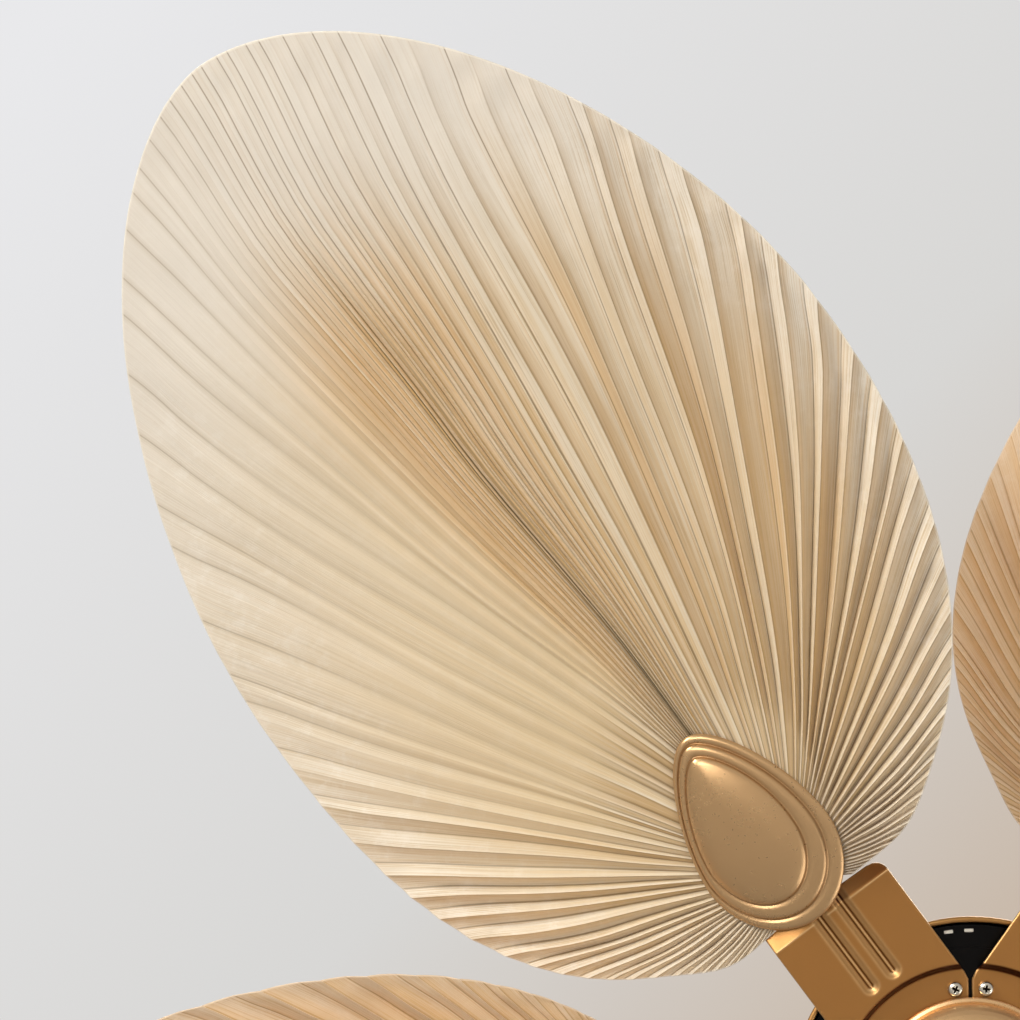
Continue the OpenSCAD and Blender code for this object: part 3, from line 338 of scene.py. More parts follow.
def arm_grids():
    """The strap and foot as a height field. A row is a distance out, a circle round the hub near
    the foot and a straight line further out, and columns run across between the slits, then
    between the straight sides. The step follows a circle. A groove is a wide shallow trough with
    a narrow channel in its middle, and ends in a round. The strip leans over past a crisp bend.
    Returns the two grids, and how much painted shade and painted highlight each point gets."""
    out = np.concatenate([np.linspace(ARM_IN, 66, 10), np.linspace(66.4, 72, 21),
                          np.linspace(72.7, 86, 21), np.linspace(87.5, 119, 12),
                          np.linspace(120, BEND - 0.3, 4), np.linspace(BEND, BEND_END, 16)])
    edge, groove = ARM_HALF - np.array([0, 0.12, 0.35, 0.7, 1.2]), np.linspace(13, 1, 31)
    right = np.concatenate([edge, np.linspace(34.5, 14, 12), groove, [0.5]])
    across = np.concatenate([-right, [0], right[::-1]]) / ARM_HALF
    slit = out * np.sin(math.radians(STEP_TURN / 2) - np.arcsin(SLIT_HALF / out))
    rounding = np.clip(out - (BEND_END - CORNER_R), 0, CORNER_R)
    corner = ARM_HALF - CORNER_R + np.sqrt(CORNER_R ** 2 - rounding ** 2)
    half = np.minimum(slit, ARM_HALF)[:, None] * np.ones_like(across)
    half = np.where(across > 0, np.minimum(half, corner[:, None]), half)
    y = half * across[None]
    bow = (1 - ease(out, 76, 112))[:, None]
    x = out[:, None] - bow * (out[:, None] - np.sqrt(out[:, None] ** 2 - y ** 2))
    radius = np.hypot(x, y)
    z = STEP_UP * (1 - ease(radius, STEP_IN, STEP_OUT))
    off = np.hypot(np.abs(y) - GROOVE_ASIDE, np.clip(GROOVE_START - x, 0, None))
    kept = 1 - ease(x, 126, 131)
    z += kept * (TROUGH_UP * (1 - ease(off, 1.5, 5.0)) + CHANNEL_UP * (1 - ease(off, 0.5, 1.5))
                 - CHANNEL_MIDDLE * (1 - ease(off, 0, 0.6)))
    past = np.clip((x - BEND) / (BEND_END + 0.5 - BEND), 0, 1)
    z -= past * (y * math.tan(math.radians(PITCH)) + PLATE_DROP)
    side = half - np.abs(y)
    inset = np.clip(np.minimum(side, BEND_END - x + 0.05) / EDGE_ROUND, 0, 1)
    round_over = 0.25 + 0.75 * np.sqrt(1 - (1 - inset) ** 2)
    middle_z = z + ARM_THICK / 2
    grids = [np.stack([x, y, middle_z + sign * ARM_THICK / 2 * round_over], -1) for sign in (-1, 1)]

    # Painted shade: the step, the grooves' channels and the strip's far side. Painted highlights:
    # the grooves' lips, middles and round ends, the bend, the side edges and, a little, the strip's
    # near side.
    step = np.exp(-((radius - (STEP_IN + STEP_OUT) / 2) / 1.9) ** 6)
    channel = kept * np.exp(-((off - 1.25) / 0.45) ** 2)
    strip = ease(x, BEND + 0.6, BEND + 1.6) * ease(y, -12, 8)
    crease = np.exp(-((x - BEND) / 0.45) ** 2) * ease(np.abs(np.abs(y) - GROOVE_ASIDE), 3, 5)
    lip = kept * (0.3 * np.exp(-((off - 4.5) / 0.8) ** 2) + 0.3 * np.exp(-((off - 2.8) / 0.9) ** 2)
                  + 0.8 * np.exp(-(off / 0.4) ** 2))
    end = 0.6 * kept * ease(GROOVE_START - x, 0, 1.5) * np.exp(-(off - 1.8) ** 2)
    painted_highlight = np.clip(lip + crease * 0.7 + end + 0.6 * np.exp(-(side / 0.5) ** 2), 0, 1)
    lit = ease(-y, 10, 20) * ease(x, BEND + 0.3, BEND + 1)
    return grids, {"recess": np.clip(step + 0.7 * channel + 0.5 * strip, 0, 1),
                   "painted_highlight": np.clip(painted_highlight + 0.1 * lit, 0, 1) * (1 - step)}


def teardrop(turns, start, length, width, side, lean=0.0, blunt=1.6, full=2.0, tip=0.0):
    """A teardrop seen in plan: round toward the hub, narrower outward. turns are angles round it,
    side moves it across, and lean moves only its narrow end. That end is a superellipse with the
    powers blunt across and full along; 2 and 2 are an ellipse's end, and tip rounds its point."""
    belly, half = start + 0.37 * length, width / 2
    c, s = np.cos(turns), np.sin(turns)
    along = length * np.where(c > 0, 0.63 * np.abs(c) ** (2 / full), 0.37 * c)
    narrow = np.clip((s * s + tip * tip) / (1 + tip * tip), 1e-12, 1) ** (1 / blunt - 0.5)
    across = half * s * np.where(c > 0, narrow, 1)
    return np.stack([belly + along, across - side - lean * np.clip(c, 0, 1)], -1)


def plate_grids():
    """The plate over the leaf, as rings of one teardrop from its middle, the heart, to its
    rounded edge."""
    turns = np.linspace(0, 2 * math.pi, 97)[:-1]
    edge = teardrop(turns, start=127, length=106, width=60, side=6.5)
    heart = np.array([169.0, -5.5])
    shares = np.concatenate([np.linspace(0.05, 0.9, 8), [0.95, 0.98, 0.995, 1.0]])
    flat = heart + shares[:, None, None] * (edge - heart)
    thick = ARM_THICK / 2 * np.array([1.0] * 9 + [0.9, 0.6, 0.25])
    low = np.concatenate([flat, np.zeros(flat.shape[:2] + (1,))], -1)
    high = low.copy()
    low[..., 2] = ARM_THICK / 2 - PLATE_DROP - thick[:, None]
    high[..., 2] = ARM_THICK / 2 - PLATE_DROP + thick[:, None]
    return low, high


# The paint of the canopy, with painted highlights along the creases, lips and edges, and painted
# shade in the step, the channels and the strip's far side
arm_paint = solid("arm_bronze_gold_paint", "#b7834a", "#ad7a42", 0.78, (0.3, 0.42), 60, 0.5, 0.006,
                  marks=(("painted_highlight", "#ecc790"), ("recess", "#3a1000")))
STRAP, MARKS = arm_grids()
PLATE = plate_grids()
for side in HUB:
    for number in range(1, 6):
        node = f"{side}_arm_{number}"
        strap = sheet(node + "_strap", *(placed(g, side, number, False) for g in STRAP),
                      values=MARKS)
        plate = sheet(node + "_plate", *(placed(g, side, number, True) for g in PLATE), wrap=True)
        for piece in (strap, plate):
            piece.data.materials.append(arm_paint)
            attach(piece, side + "_rotor")
            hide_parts(node)

# ------------------------------------------------------------------ vent inserts, painted light
# A white insert fills each vent slot of the base plate as painted light, standing for the light
# seen through the vent, and shows between the arms as a bright dash. Its face is a little pillowed,
# with round corners, and it is smooth.
VENT_R, VENT_TURNS, VENT_SIZE = 87.0, (29.0, 36.0), (1.8, 4.8)
INSERT_FACE, INSERT_BACK, INSERT_PILLOW = 7.7, 10.0, 0.35


def vent_insert_grids():
    """Rings of a rounded rectangle (a superellipse of power 5) from its middle to its edge."""
    turns = np.linspace(0, 2 * math.pi, 33)[:-1]
    c, s = np.cos(turns), np.sin(turns)
    edge = np.stack([np.sign(c) * np.abs(c) ** 0.4, np.sign(s) * np.abs(s) ** 0.4], -1)
    share = np.array([0.1, 0.6, 0.85, 0.95, 1.0])[:, None, None]
    flat = share * edge * np.array(VENT_SIZE) / 2 + (VENT_R, 0)
    face = INSERT_FACE + INSERT_PILLOW * share[..., 0] ** 6 + 0 * flat[..., 0]
    return [np.concatenate([flat, z[..., None]], -1) for z in (face, face * 0 + INSERT_BACK)]


# A plain white that stands in for the light through the vents
vent_light_paint = solid("vent_light_white", "#f4f2ea", "#e9e6dc", 0.0, (0.3, 0.45), 6, 0.8, 0.01)
for side in HUB:
    groups = []
    for grid in vent_insert_grids():
        copies = []
        for number in range(1, 6):
            for turn in VENT_TURNS:
                c, s = math.cos(math.radians(turn)), math.sin(math.radians(turn))
                spun = grid @ np.array([[c, s, 0], [-s, c, 0], [0, 0, 1]])
                copies.append(placed(spun, side, number, False))
        groups.append(np.stack(copies))
    piece = sheet(side + "_vent_light_inserts", *groups, wrap=True)
    piece.data.materials.append(vent_light_paint)
    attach(piece, side + "_rotor")

# ------------------------------------------------------------------ blade screws
# Pan-head M5 screws with a cross recess, cold-headed from steel wire and zinc plated. Two hold
# each arm's foot, and three clamp each medallion from above, through the arm's plate.
HEAD_R, HEAD_H, SHANK_R, SHANK_LONG = 4.15, 3.2, 2.5, 5.0
CROSS_LONG, CROSS_HALF, CROSS_DEEP, CROSS_TURN = 2.15, 0.5, 1.3, 0.5
FOOT_SCREW = (57.6, 28.06)
CLAMPS = np.array([[169.9, -18.95], [169.9, 8.55], [209.5, -7.7]])


def screw_grids():
    """One screw, head down, as rings round its axis: a shallow dome, a rounded shoulder and a
    cross pressed into the middle. The flat back of the head rises into the shank."""
    radius = np.concatenate([np.linspace(0.05, 2.4, 11), np.linspace(2.55, 3.6, 4),
                             HEAD_R - 0.4 * np.array([0.8, 0.4, 0.1, 0])])[:, None]
    turns = np.linspace(0, 2 * math.pi, 41)[:-1][None] + 0.3
    x, y = radius * np.cos(turns), radius * np.sin(turns)
    c, s = math.cos(CROSS_TURN), math.sin(CROSS_TURN)
    u, v = x * c - y * s, x * s + y * c
    narrow, wide = np.minimum(np.abs(u), np.abs(v)), np.maximum(np.abs(u), np.abs(v))
    cross = (1 - ease(narrow, CROSS_HALF - 0.15, CROSS_HALF + 0.1)) * (
        1 - ease(wide, CROSS_LONG - 0.5, CROSS_LONG))
    z = -HEAD_H * np.sqrt(1 - 0.9 * (radius / HEAD_R) ** 4) + CROSS_DEEP * cross
    low = np.stack([x, y, z], -1)
    high = np.stack([x, y, np.where(radius < SHANK_R, SHANK_LONG, 0.0) + 0 * x], -1)
    # The cross is darkened with painted shade
    return low, high, {"recess": cross}


# Bright zinc, with painted shade darkening the cross recess
screw_zinc = solid("zinc_plated_screw", "#e6e2d8", "#cfcabd", 1.0, (0.18, 0.3), 9, 0.5, 0.006,
                   marks=(("recess", "#17120e"),))
LOW, HIGH, CROSS_SHADE = screw_grids()
for side in HUB:
    groups = []
    for grid in (LOW, HIGH):
        copies = []
        for number in range(1, 6):
            for turn in (-1, 1):
                swing = math.radians(turn * FOOT_SCREW[1])
                foot = (FOOT_SCREW[0] * math.cos(swing), FOOT_SCREW[0] * math.sin(swing), STEP_UP)
                copies.append(placed(grid + foot, side, number, False))
            for spot in CLAMPS:
                seat = (*spot, ARM_THICK - PLATE_DROP)
                copies.append(placed(grid * (1, -1, -1) + seat, side, number, True))
        groups.append(np.stack(copies))
    piece = sheet(side + "_screws", *groups, wrap=True, values=CROSS_SHADE)
    piece.data.materials.append(screw_zinc)
    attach(piece, side + "_rotor")
    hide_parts(side + "_blade_screws")

# ------------------------------------------------------------------ medallions
# A pressed teardrop cover, painted champagne gold, clamps the leaf from below. Two fine steps
# run round it inside a rolled flange, closer together on its lifted side, and the middle is a
# smooth low dome. Heights are in mm over the hub's origin, and minus is toward the room.
MEDALLION_TOP = -4.8
MEDALLION_WALL = 1.2
DOME_LOW, DOME_RISE = -15.0, 4.8


def medallion_grids():
    """Rings of 120 points from the middle of the dome to the flange's edge. Three teardrops set
    the plan, for the flange's edge and the feet of the two steps; rings between them are blends.
    Each ring has a height, so a step is a few close rings, with a fine groove at its foot, and an
    amount of painted shade, which darkens the groove."""
    turns = np.linspace(0, 2 * math.pi, 121)[:-1]
    flange = teardrop(turns, start=124.0, length=115.7, width=75.2, side=7.3, lean=-1.3,
                      blunt=1.5, full=1.6, tip=0.63)
    ring = teardrop(turns, start=132.5, length=102.4, width=64.2, side=9.5, lean=-2.0,
                    blunt=1.43, full=1.69, tip=0.37)
    dome = teardrop(turns, start=142.6, length=85.3, width=50.3, side=11.5, lean=-3.2,
                    blunt=1.41, full=1.8, tip=0.28)
    heart = np.array([178.0, -10.5])
    plan, height, dark = [], [], []
    for share in np.linspace(0.06, 1.0, 14):
        plan.append(heart + share * (dome - heart))
        height.append(DOME_LOW + DOME_RISE * share ** 3.0)
        dark.append(0.0)
    for share, z, shade in (
            (0.04, -9.8, 0.2), (0.08, -9.15, 0.55), (0.12, -8.6, 0.35), (0.16, -8.3, 0.1),
            (0.2, -8.36, 0.0), (0.3, -8.85, 0.0), (0.45, -9.0, 0.0), (0.7, -8.8, 0.0),
            (0.85, -8.4, 0.0), (0.95, -7.95, 0.0)):
        plan.append(dome + share * (ring - dome))
        height.append(z)
        dark.append(shade)
    for share, z, shade in (
            (0.0, -7.55, 0.2), (0.06, -6.9, 0.55), (0.11, -6.45, 0.35), (0.15, -6.2, 0.1),
            (0.19, -6.26, 0.0), (0.28, -6.8, 0.0), (0.42, -7.0, 0.0), (0.6, -6.95, 0.0),
            (0.75, -6.65, 0.0), (0.86, -6.2, 0.0), (0.94, -5.75, 0.0), (0.98, -5.45, 0.0),
            (1.0, -5.1, 0.0)):
        plan.append(ring + share * (flange - ring))
        height.append(z)
        dark.append(shade)
    flat, tall = np.array(plan), np.array(height)[:, None, None]
    low = np.concatenate([flat, np.broadcast_to(tall, flat.shape[:2] + (1,))], -1)
    high = low.copy()
    high[..., 2] = np.minimum(low[..., 2] + MEDALLION_WALL, MEDALLION_TOP)
    return (low, high), {"recess": np.broadcast_to(np.array(dark)[:, None], flat.shape[:2])}


# Smooth satin paint with a wide soft shine, pinkish gold, with brown painted shade in the grooves
champagne = solid("champagne_gold_paint", "#cca87c", "#c49f73", 0.66, (0.26, 0.31), 45, 3, 0.006,
                  marks=(("recess", "#744c20"),))
MEDALLION, MEDALLION_MARKS = medallion_grids()
for side in HUB:
    for number in range(1, 6):
        piece = sheet(f"{side}_medallion_{number}",
                      *(placed(g, side, number, True) for g in MEDALLION), wrap=True,
                      values=MEDALLION_MARKS)
        piece.data.materials.append(champagne)
        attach(piece, side + "_rotor")
        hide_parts(side + "_medallions")

# ------------------------------------------------------------------ leaves
# Each blade is one dried, bleached palm leaf, trimmed to an oval. Its pleats fan out from a root
# under the medallion, tight there and mostly 13 to 24 mm wide at the edge, and its midrib is a
# bundle of much finer folds. The side that lifts is nearly smooth; the other is sharply pleated.
# "Low" is the +Y side, the one that pitches down.
ROOT = np.array([150.0, -3.5])
RIB_TURN = 0.4
FAN = (-127.0, 126.0)
LEAF_START, LEAF_LEN, LEAF_HALF = 131.2, 536.3, 185.0
LOW_BELLY, HIGH_BELLY = 250.0, 231.0
TIP_POWER, LOW_POWER, HIGH_POWER = 1.78, 2.2, 2.6
LOW_LOBE, HIGH_LOBE, LOBE_OUT, LOBE_WIDE = 4.4, 6.2, 60.0, 24.0
LEAF_Z, LEAF_THICK, LEAF_SWELL = -3.4, 0.8, 0.5
HEM = 1.2

# Half a pleat's depth where it is crisp and where it is soft, the most it may be as a share of
# its width, and how uneven the widths are
CRISP_DEEP, SOFT_DEEP, STEEPEST, UNEVEN = 3.3, 0.3, 0.26, 0.24

# The oval under the medallion, where the pleats are pressed flat
CLAMP_MID, CLAMP_HALF = (184.5, -6.2), (62.5, 40.25)

# One pleat from valley to valley: shares of its width, and how high it stands at each
PROFILE = np.array([0.0, 0.08, 0.24, 0.385, 0.4, 0.43, 0.5, 0.64, 0.84])
RISE = np.array([0.0, 0.2, 0.6, 0.96, 1.0, 0.8, 0.58, 0.26, 0.05])


def outline(turns):
    """Points of the trimmed edge. turns runs from -pi to pi with 0 at the tip. Each quarter is a
    superellipse, with its own belly and fullness, and at the base a round lobe on either side of
    the arm reaches a little further toward the hub."""
    low, tipward = turns > 0, np.abs(turns) < math.pi / 2
    belly = np.where(low, LOW_BELLY, HIGH_BELLY)
    power = np.where(tipward, TIP_POWER, np.where(low, LOW_POWER, HIGH_POWER))
    reach = np.where(tipward, LEAF_LEN - belly, belly)
    c, s = np.cos(turns), np.sin(turns)
    y = LEAF_HALF * np.sign(s) * np.abs(s) ** (2 / power)
    lobe = np.where(low, LOW_LOBE, HIGH_LOBE) * np.exp(-((np.abs(y) - LOBE_OUT) / LOBE_WIDE) ** 2)
    return LEAF_START + belly + reach * np.sign(c) * np.abs(c) ** (2 / power) - lobe * (c < 0), y


def fold_turns(dice):
    """Angles of the valley folds round the root, in degrees. A pleat is about 4 degrees wide,
    3 in the base lobes and beside the midrib, and 1 at it, and none is quite even: each fold is
    drawn aside by up to a quarter of the narrower pleat next to it."""
    fine = np.linspace(FAN[0], FAN[1], 6000)
    width = np.interp(fine - RIB_TURN,
                      [-127, -80, -60, -40, -20, -12, -5, 0, 4, 7, 11, 30, 55, 80, 127],
                      [3.1, 3.6, 4.0, 3.8, 3.4, 2.2, 1.4, 0.8, 1.0, 1.6, 3.0, 3.4, 4.1, 3.8, 3.1])
    count = np.cumsum((fine[1] - fine[0]) / width)
    whole = np.arange(0, math.floor(count[-1]) + 1) * count[-1] / math.floor(count[-1])
    turns = np.interp(whole, count, fine)
    turns[0], turns[-1] = FAN
    gaps = np.diff(turns)
    turns[1:-1] += np.minimum(gaps[:-1], gaps[1:]) * dice.uniform(-UNEVEN, UNEVEN, len(turns) - 2)
    return turns


# How much tan is painted over each blade's leaf as shade; the third gets none and is the palest
PAINTED_LEAF_SHADE = (0.27, 0.33, 0.0, 0.3, 0.3)


def leaf_grids(seed):
    """The pleated sheet as rays from the root (columns) by shares of the way to the edge (rows).

    From its valley on the midrib's side a pleat rises straight to the ridge, drops sharply just
    past it and flattens out toward the next valley; the two halves of the leaf mirror each other.
    Near the midrib a ray's offset from it grows as a power of the share, so the rays hug it.
    On the lifted side the profile softens to a shallow wave. Long swells cross the whole sheet,
    and small crumples, products of sines, lie near its edge.
    Returns the low and high grids, the creased columns and the attributes."""
    dice = np.random.default_rng(seed)
    valleys = fold_turns(dice)
    pleats, columns = len(valleys) - 1, len(PROFILE)
    slide = dice.uniform(-0.06, 0.06, pleats)
    lift = dice.uniform(0.75, 1.15, pleats)
    tone = dice.uniform(0, 1, (pleats, 2))
    local = PROFILE[None] + slide[:, None] * np.exp(-((PROFILE[None] - 0.43) / 0.22) ** 4)
    mirrored = valleys[:-1] < RIB_TURN
    share_u = np.where(mirrored[:, None], 1 - np.roll(local[:, ::-1], 1, 1), local)
    share_u[:, 0] = 0
    level = np.where(mirrored[:, None], np.roll(RISE[::-1], 1)[None], RISE[None])
    ridge_column = np.where(mirrored, columns - 4, 4)
    ridge_u = share_u[np.arange(pleats), ridge_column]

    def spread(values):
        return np.append(np.repeat(values, columns), values[-1])

    gaps = np.diff(valleys)
    turns = np.append((valleys[:-1, None] + gaps[:, None] * share_u).ravel(), valleys[-1])
    level, share_u = np.append(level.ravel(), 0.0), np.append(share_u.ravel(), 1.0)
    lift, span, ridge_u = spread(lift), spread(gaps), spread(ridge_u)
    outward = np.where(spread(mirrored), -1.0, 1.0)
    past_ridge = (share_u - ridge_u) * outward > 0
    tone = np.where(past_ridge, spread(tone[:, 0]), spread(tone[:, 1]))
    off = turns - RIB_TURN

    # Where each ray meets the trimmed edge, and the clamp's oval
    ex, ey = outline(np.linspace(-math.pi, math.pi, 4001)[1:-1])
    seen_at = np.unwrap(np.arctan2(ey - ROOT[1], ex - ROOT[0]))
    seen_at -= 2 * math.pi * round(seen_at[len(seen_at) // 2] / (2 * math.pi))
    keep = np.concatenate([[True], np.diff(np.maximum.accumulate(seen_at)) > 0])
    end = np.stack([np.interp(np.radians(turns), seen_at[keep], c[keep]) for c in (ex, ey)], -1)

    away = np.radians(turns)
    start = (ROOT - CLAMP_MID) / CLAMP_HALF
    pace = np.stack([np.cos(away), np.sin(away)], -1) / CLAMP_HALF
    a, b, c = (pace ** 2).sum(-1), (pace * start).sum(-1), (start ** 2).sum() - 1
    clamp = (-b + np.sqrt(b * b - a * c)) / a
    reach = np.hypot(*(end - ROOT).T)

    # Rows, in shares of the reach: from halfway under the clamp to the hem
    run = np.concatenate([np.linspace(0, 0.3, 11) ** 1.35 / 0.3 ** 0.35,
                          np.linspace(0.34, 0.86, 14), np.linspace(0.88, 0.985, 8)])
    first = 0.45 * clamp / reach
    share = first[None] + run[:, None] * (1 - first)[None]
    hem = 1 - HEM / reach[None] * np.array([1.0, 0.35, 0.0])[:, None]
    share = np.concatenate([np.minimum(share, hem[0] - 0.002), hem])
    radius = share * reach[None]
    beyond = np.clip(radius - clamp[None], 0, None)
    edge_gap = (1 - share) * reach[None]

    # The plan: each ray is drawn toward the midrib, wanders a little and bends near the edge,
    # and the midrib itself sags to one side
    rib, side_way = (np.array([math.cos(q), math.sin(q)]) for q in (
        math.radians(RIB_TURN), math.radians(RIB_TURN + 90)))
    out, aside = ((end - ROOT) @ way for way in (rib, side_way))
    hug = np.interp(off, [-32, -20, -14, -5, 0, 6, 12, 34, 50],
                    [0, 0.9, 1.2, 0.8, 0.8, 0.2, -0.4, -0.3, 0])
    pull = np.where(hug > 0, 4.0, 1.2)
    drawn = 1 - hug[None] * (1 - share) ** pull[None]
    wander = 0.30 * np.sin(0.19 * turns + radius / 67 + dice.uniform(0, 6)) + 0.22 * np.sin(
        0.47 * turns - radius / 41 + dice.uniform(0, 6))
    bend = (2.2 * np.sign(off) * ease(np.abs(off), 45, 80))[None] * (1 - ease(share, 0.6, 1.0))
    twist = np.radians(bend + wander * ease(beyond, 5, 60) * ease(edge_gap, 0, 40)
                       * ease(np.abs(off), 4, 14)[None])
    ahead, beside = share * out[None], share * drawn * aside[None]
    ahead, beside = (ahead * np.cos(twist) - beside * np.sin(twist),
                     ahead * np.sin(twist) + beside * np.cos(twist))
    x = ROOT[0] + ahead * rib[0] + beside * side_way[0]
    y = ROOT[1] + ahead * rib[1] + beside * side_way[1]
    sag = 8.4 * ease(share, 0.25, 0.56) + 3.4 * ease(share, 0.55, 0.82)
    y = y - sag * (1 - ease(share, 0.8, 1.02)) * np.exp(-(off / 9) ** 2)[None]

    # The heights: pleats are shallow at the clamp, at the midrib's tip and at the edge
    period = radius * np.radians(span)[None] * drawn
    smooth = np.interp(off, [-66, -56, -46, -36, -27, -9, -5, -1],
                       [0, 0.15, 0.5, 0.9, 0.98, 0.95, 0.5, 0])[None]
    full = CRISP_DEEP * (1 - np.exp(-beyond / 24)) * (1 - smooth)
    deep = np.minimum(full + SOFT_DEEP, STEEPEST * period) * lift[None]
    deep = deep * (0.34 + 0.66 * ease(edge_gap, 0, 30))
    deep = deep * (1 - 0.85 * ease(radius, 320, 450) * np.exp(-(off / 24) ** 2)[None])
    deep = np.where(beyond > 0, deep, np.minimum(deep, 0.6))
    soft = smooth * ease(beyond, 5, 60)
    wave = 0.5 - 0.5 * np.cos(2 * math.pi * share_u)
    shape = level[None] * (1 - soft) + soft * wave[None]
    waves = dice.uniform(0, 6.3, 6)
    sway = (np.sin(x / 47 + y / 33 + waves[0]) + np.sin(x / 29 - y / 41 + waves[1])
            + 0.6 * np.sin(x / 17 + y / 13 + waves[2]))
    near_edge = (1 - ease(edge_gap, 8, 60)) * ease(edge_gap, 0, 6)
    crumple = (np.sin(x / 6.1 + y / 9.3 + waves[3]) * np.sin(x / 11.7 - y / 7.9 + waves[4])
               + 0.6 * np.sin(x / 4.3 - y / 5.2 + waves[5])) * near_edge * ease(off, -40, 20)[None]
    z = (LEAF_Z - deep * (2 * shape - 1) + LEAF_SWELL * sway * ease(beyond, 20, 120)
         + (0.3 + 0.6 * tone) * crumple)
    thick = LEAF_THICK / 2 * (1 - 0.7 * (edge_gap < 0.01))
    low, high = (np.stack([x, y, z + sign * thick], -1) for sign in (-1, 1))

    midrib = np.exp(-(np.where(off < 0, off / 9, off / 6)) ** 2)[None]
    values = {"ridge_mm": period * np.abs(share_u - ridge_u)[None] * np.where(past_ridge, 1, -1),
              "valley_mm": period * np.minimum(share_u, 1 - share_u)[None],
              "edge_mm": edge_gap, "soft": soft, "along": radius, "clamp_mm": beyond,
              "across": np.broadcast_to(turns[None], share.shape),
              "tone": np.broadcast_to(tone[None], share.shape),
              "gold": midrib * np.ones_like(share),
              "rib_turn": np.broadcast_to(off[None], share.shape),
              # Each leaf's tan is its painted shade
              "tan": np.full(share.shape, PAINTED_LEAF_SHADE[seed % 10 - 1])}
    spot = np.append(np.tile(np.arange(columns), pleats), 0)
    creased = (spot == 0) | ((spot == spread(ridge_column)) & (smooth[0] < 0.5))
    return low, high, np.flatnonzero(creased), values


# Cracks along the midrib: the turn off it, the distance where each ends, and how dark it is
CRACKS = ((-0.75, 260, 0.5), (-0.1, 400, 0.9), (0.3, 330, 0.7), (0.95, 390, 0.4))

# The leaf's colours, with painted shade and painted highlights among them, in the order they are
# laid over its cream ground. A row is a colour and the factors of its share. A factor is a field of
# the surface, or a field that fades between two of its values from one share to another. Distances
# are in mm, and turns in degrees.
LAYERS = (
    # Greyer patches, a paler edge, and gold at the clamp and along the midrib
    ("#e4d8c3", ("patch", 0.35, 0.65, 0.0, 0.7)),
    ("#f1e7d9", ("edge_mm", 10, 190, 0.8, 0.0)),
    ("#ebcf9e", ("clamp_mm", 0, 330, 0.75, 0.0)),
    ("#e6bc80", "gold", ("edge_mm", 40, 170, 0.0, 0.85)),
    # Pleats that differ, pale and tan fibres, and pale fibres with a painted silky sheen near the
    # edge, all weaker where it is soft
    ("#d6c6a6", "tone", ("soft", 0, 1, 0.3, 0.09)),
    ("#f7f0e3", ("broad_fibre", 0.38, 0.62, 0.0, 0.5), ("soft", 0, 1, 1.0, 0.3)),
    ("#b99f72", ("fine_fibre", 0.5, 0.7, 0.0, 0.5), ("soft", 0, 1, 1.0, 0.3)),
    ("#fdf9f1", ("fine_fibre", 0.44, 0.56, 0.6, 0.0), ("edge_mm", 15, 100, 1.0, 0.0),
     ("soft", 0, 1, 1.0, 0.3)),
    # Small pale and dull spots toward the edge, the paler tip, and painted shade that browns the
    # crisp side
    ("#fffaf2", ("pale_spots", 0.48, 0.66, 0.0, 0.35), ("edge_mm", 10, 130, 1.0, 0.2)),
    ("#c9b899", ("dull_spots", 0.5, 0.7, 0.0, 0.15), ("edge_mm", 10, 130, 1.0, 0.2)),
    ("#ece6de", "tip"),
    ("#b8905c", ("rib_turn", 8, 30, 0.0, 0.08)),
    # Crisp pleats: some are tanned as a whole, and each has painted shade, tan, on its lee past its
    # ridge
    ("#d2aa70", ("tone", 0.45, 0.9, 0.0, 0.5), ("edge_mm", 20, 150, 0.25, 1.0), "crisp"),
    ("#cba464", ("ridge_mm", 0.0, 0.25, 0.0, 1.0), ("ridge_mm", 0.3, 7.0, 0.36, 0.0), "crisp"),
    # Painted shade as a thin line in each valley and a brown groove toward the root, and a pale
    # painted highlight on each crest with painted shade at its foot
    ("#7d6036", ("valley_mm", 0.12, 0.55, 0.6, 0.0), "lined"),
    ("#6e4a1c", ("valley_mm", 0.3, 1.6, 1.0, 0.0), ("clamp_mm", 5, 95, 0.7, 0.0),
     ("rib_turn", 25, 60, 0.25, 1.0), "crisp"),
    ("#fbf1df", ("ridge_mm", -1.2, -0.2, 0.0, 0.4), ("ridge_mm", 0.0, 0.2, 1.0, 0.0), "crisp"),
    ("#8a652c", ("ridge_mm", 0.0, 0.25, 0.0, 1.0), ("ridge_mm", 0.35, 0.9, 0.4, 0.0), "crisp"),
    # Painted shade in the wide shallow valleys of the smooth side
    ("#a08a60", ("valley_mm", 0.3, 3.2, 0.17, 0.0), "soft"),
    # The midrib's cracks, and the shade beside it
    *(("#4b3a17", (f"crack_{turn}", 0.15, 0.6, depth, 0.0), ("along", end - 90, end, 1.0, 0.0))
      for turn, end, depth in CRACKS),
    ("#a08a58", ("rib_turn", -1.0, 0.0, 0.0, 1.0), ("rib_turn", 0.5, 6.0, 0.1, 0.0),
     ("along", 330, 430, 1.0, 0.0)),
    # A painted highlight along the cut edge, and over all each leaf's painted shade, a tan
    ("#f7f1e6", ("edge_mm", 0.9, 1.5, 0.7, 0.0)),
    ("#ffbf6a", "tan"),
)


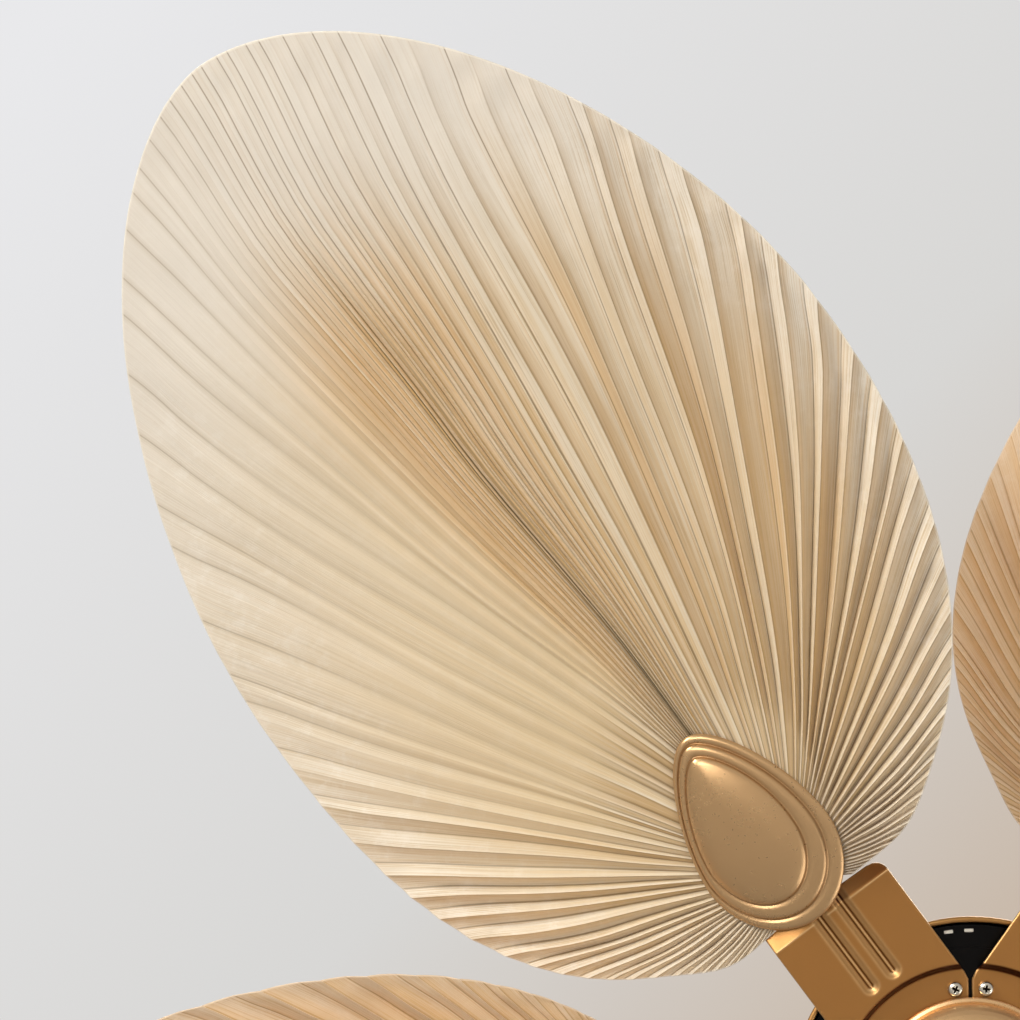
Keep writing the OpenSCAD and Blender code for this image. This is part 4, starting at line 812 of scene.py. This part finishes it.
def palm_leaf():
    """Bleached palm leaf: cream, striped by its pleats and by painted shade and highlights along
    them, with long fine fibres, dry and matt.
    Fibres are noise drawn out along each ray, and they also make the bump and the roughness."""
    material = bpy.data.materials.new("palm_leaf")
    material.use_nodes = True
    tree = material.node_tree
    surface = tree.nodes["Principled BSDF"]
    field = {name: add(tree, "Attribute", {"attribute_name": name}).outputs["Fac"]
             for name in ("ridge_mm", "valley_mm", "edge_mm", "soft", "across", "along",
                          "clamp_mm", "tone", "gold", "rib_turn", "tan")}

    def share(*factors):
        """The product of the factors. One of five parts is a field's name, start and end, and
        its share before start and after end, with a smooth slope between."""
        product = None
        for factor in factors:
            if isinstance(factor, str):
                value = field[factor]
            else:
                name, start, end, low, high = factor
                value = add(tree, "MapRange", {"interpolation_type": "SMOOTHSTEP"}, {
                    "Value": field[name], "From Min": start, "From Max": end,
                    "To Min": low, "To Max": high}).outputs[0]
            product = value if product is None else add(
                tree, "Math", {"operation": "MULTIPLY"}, {0: product, 1: value}).outputs[0]
        return product

    # Patches and spots by their width in mm, and fibres by their turns across and mm along
    spot = add(tree, "TexCoord").outputs["Object"]
    for name, size, detail, rough in (
            ("patch", 70, 4.0, 0.5), ("pale_spots", 11, 5.0, 0.7), ("dull_spots", 23, 5.0, 0.7)):
        field[name] = add(tree, "TexNoise", inputs={
            "Vector": spot, "Scale": 1000 / size, "Detail": detail, "Roughness": rough}).outputs[0]
    ray = add(tree, "CombineXYZ", inputs={0: field["across"], 1: field["along"]}).outputs[0]
    for name, per_degree, per_mm in (("broad_fibre", 2.6, 0.006), ("fine_fibre", 9.0, 0.014)):
        strand = add(tree, "VectorMath", {"operation": "MULTIPLY"}, {
            0: ray, 1: (per_degree, per_mm, 0)}).outputs[0]
        field[name] = add(tree, "TexNoise", inputs={
            "Vector": strand, "Scale": 1.0, "Detail": 3.0, "Roughness": 0.6}).outputs[0]

    # Fields worked out from others. The last three rows give the mm from each crack.
    field["tip"] = share(("along", 320, 460, 0.0, 0.8), ("rib_turn", 16, 36, 1.0, 0.0),
                         ("rib_turn", -36, -16, 0.0, 1.0))
    field["edge_lined"] = share(("edge_mm", 20, 120, 0.6, 0.12))
    for name, operation, first, second in (
            ("pleated", "SUBTRACT", 1.0, "soft"), ("below_tip", "SUBTRACT", 1.0, "tip"),
            ("crisp", "MULTIPLY", "pleated", "below_tip"),
            ("lined", "MAXIMUM", "pleated", "edge_lined"),
            ("mm_per_degree", "MULTIPLY", "along", math.pi / 180),
            *(row for turn, *_ in CRACKS for row in (
                (f"turned_{turn}", "SUBTRACT", "rib_turn", turn),
                (f"aside_{turn}", "ABSOLUTE", f"turned_{turn}", 0.0),
                (f"crack_{turn}", "MULTIPLY", f"aside_{turn}", "mm_per_degree")))):
        field[name] = add(tree, "Math", {"operation": operation}, {
            0: field.get(first, first), 1: field.get(second, second)}).outputs[0]

    colour = linear("#eee1cc")
    for tint, *factors in LAYERS:
        colour = add(tree, "Mix", {"data_type": "RGBA"}, {
            0: share(*factors), 6: colour, 7: linear(tint)}).outputs[2]
    height = add(tree, "Math", {"operation": "MULTIPLY_ADD"}, {
        0: field["fine_fibre"], 1: 0.6, 2: field["broad_fibre"]}).outputs[0]
    bump = add(tree, "Bump", inputs={
        "Height": height, "Distance": 0.0004, "Strength": 0.75}).outputs[0]
    tree.links.new(colour, surface.inputs["Base Color"])
    tree.links.new(share(("broad_fibre", 0.3, 0.7, 0.5, 0.68)), surface.inputs["Roughness"])
    tree.links.new(bump, surface.inputs["Normal"])
    surface.inputs["Specular IOR Level"].default_value = 0.35
    return material


LEAF = palm_leaf()
for side in HUB:
    for number in range(1, 6):
        low, high, sharp, values = leaf_grids(40 + number + 10 * (side == "right"))
        node = f"{side}_leaf_{number}"
        piece = sheet(node + "_pleats", *(placed(g, side, number, True) for g in (low, high)),
                      sharp=sharp, values=values)
        piece.data.materials.append(LEAF)
        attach(piece, side + "_rotor")
        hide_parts(node)
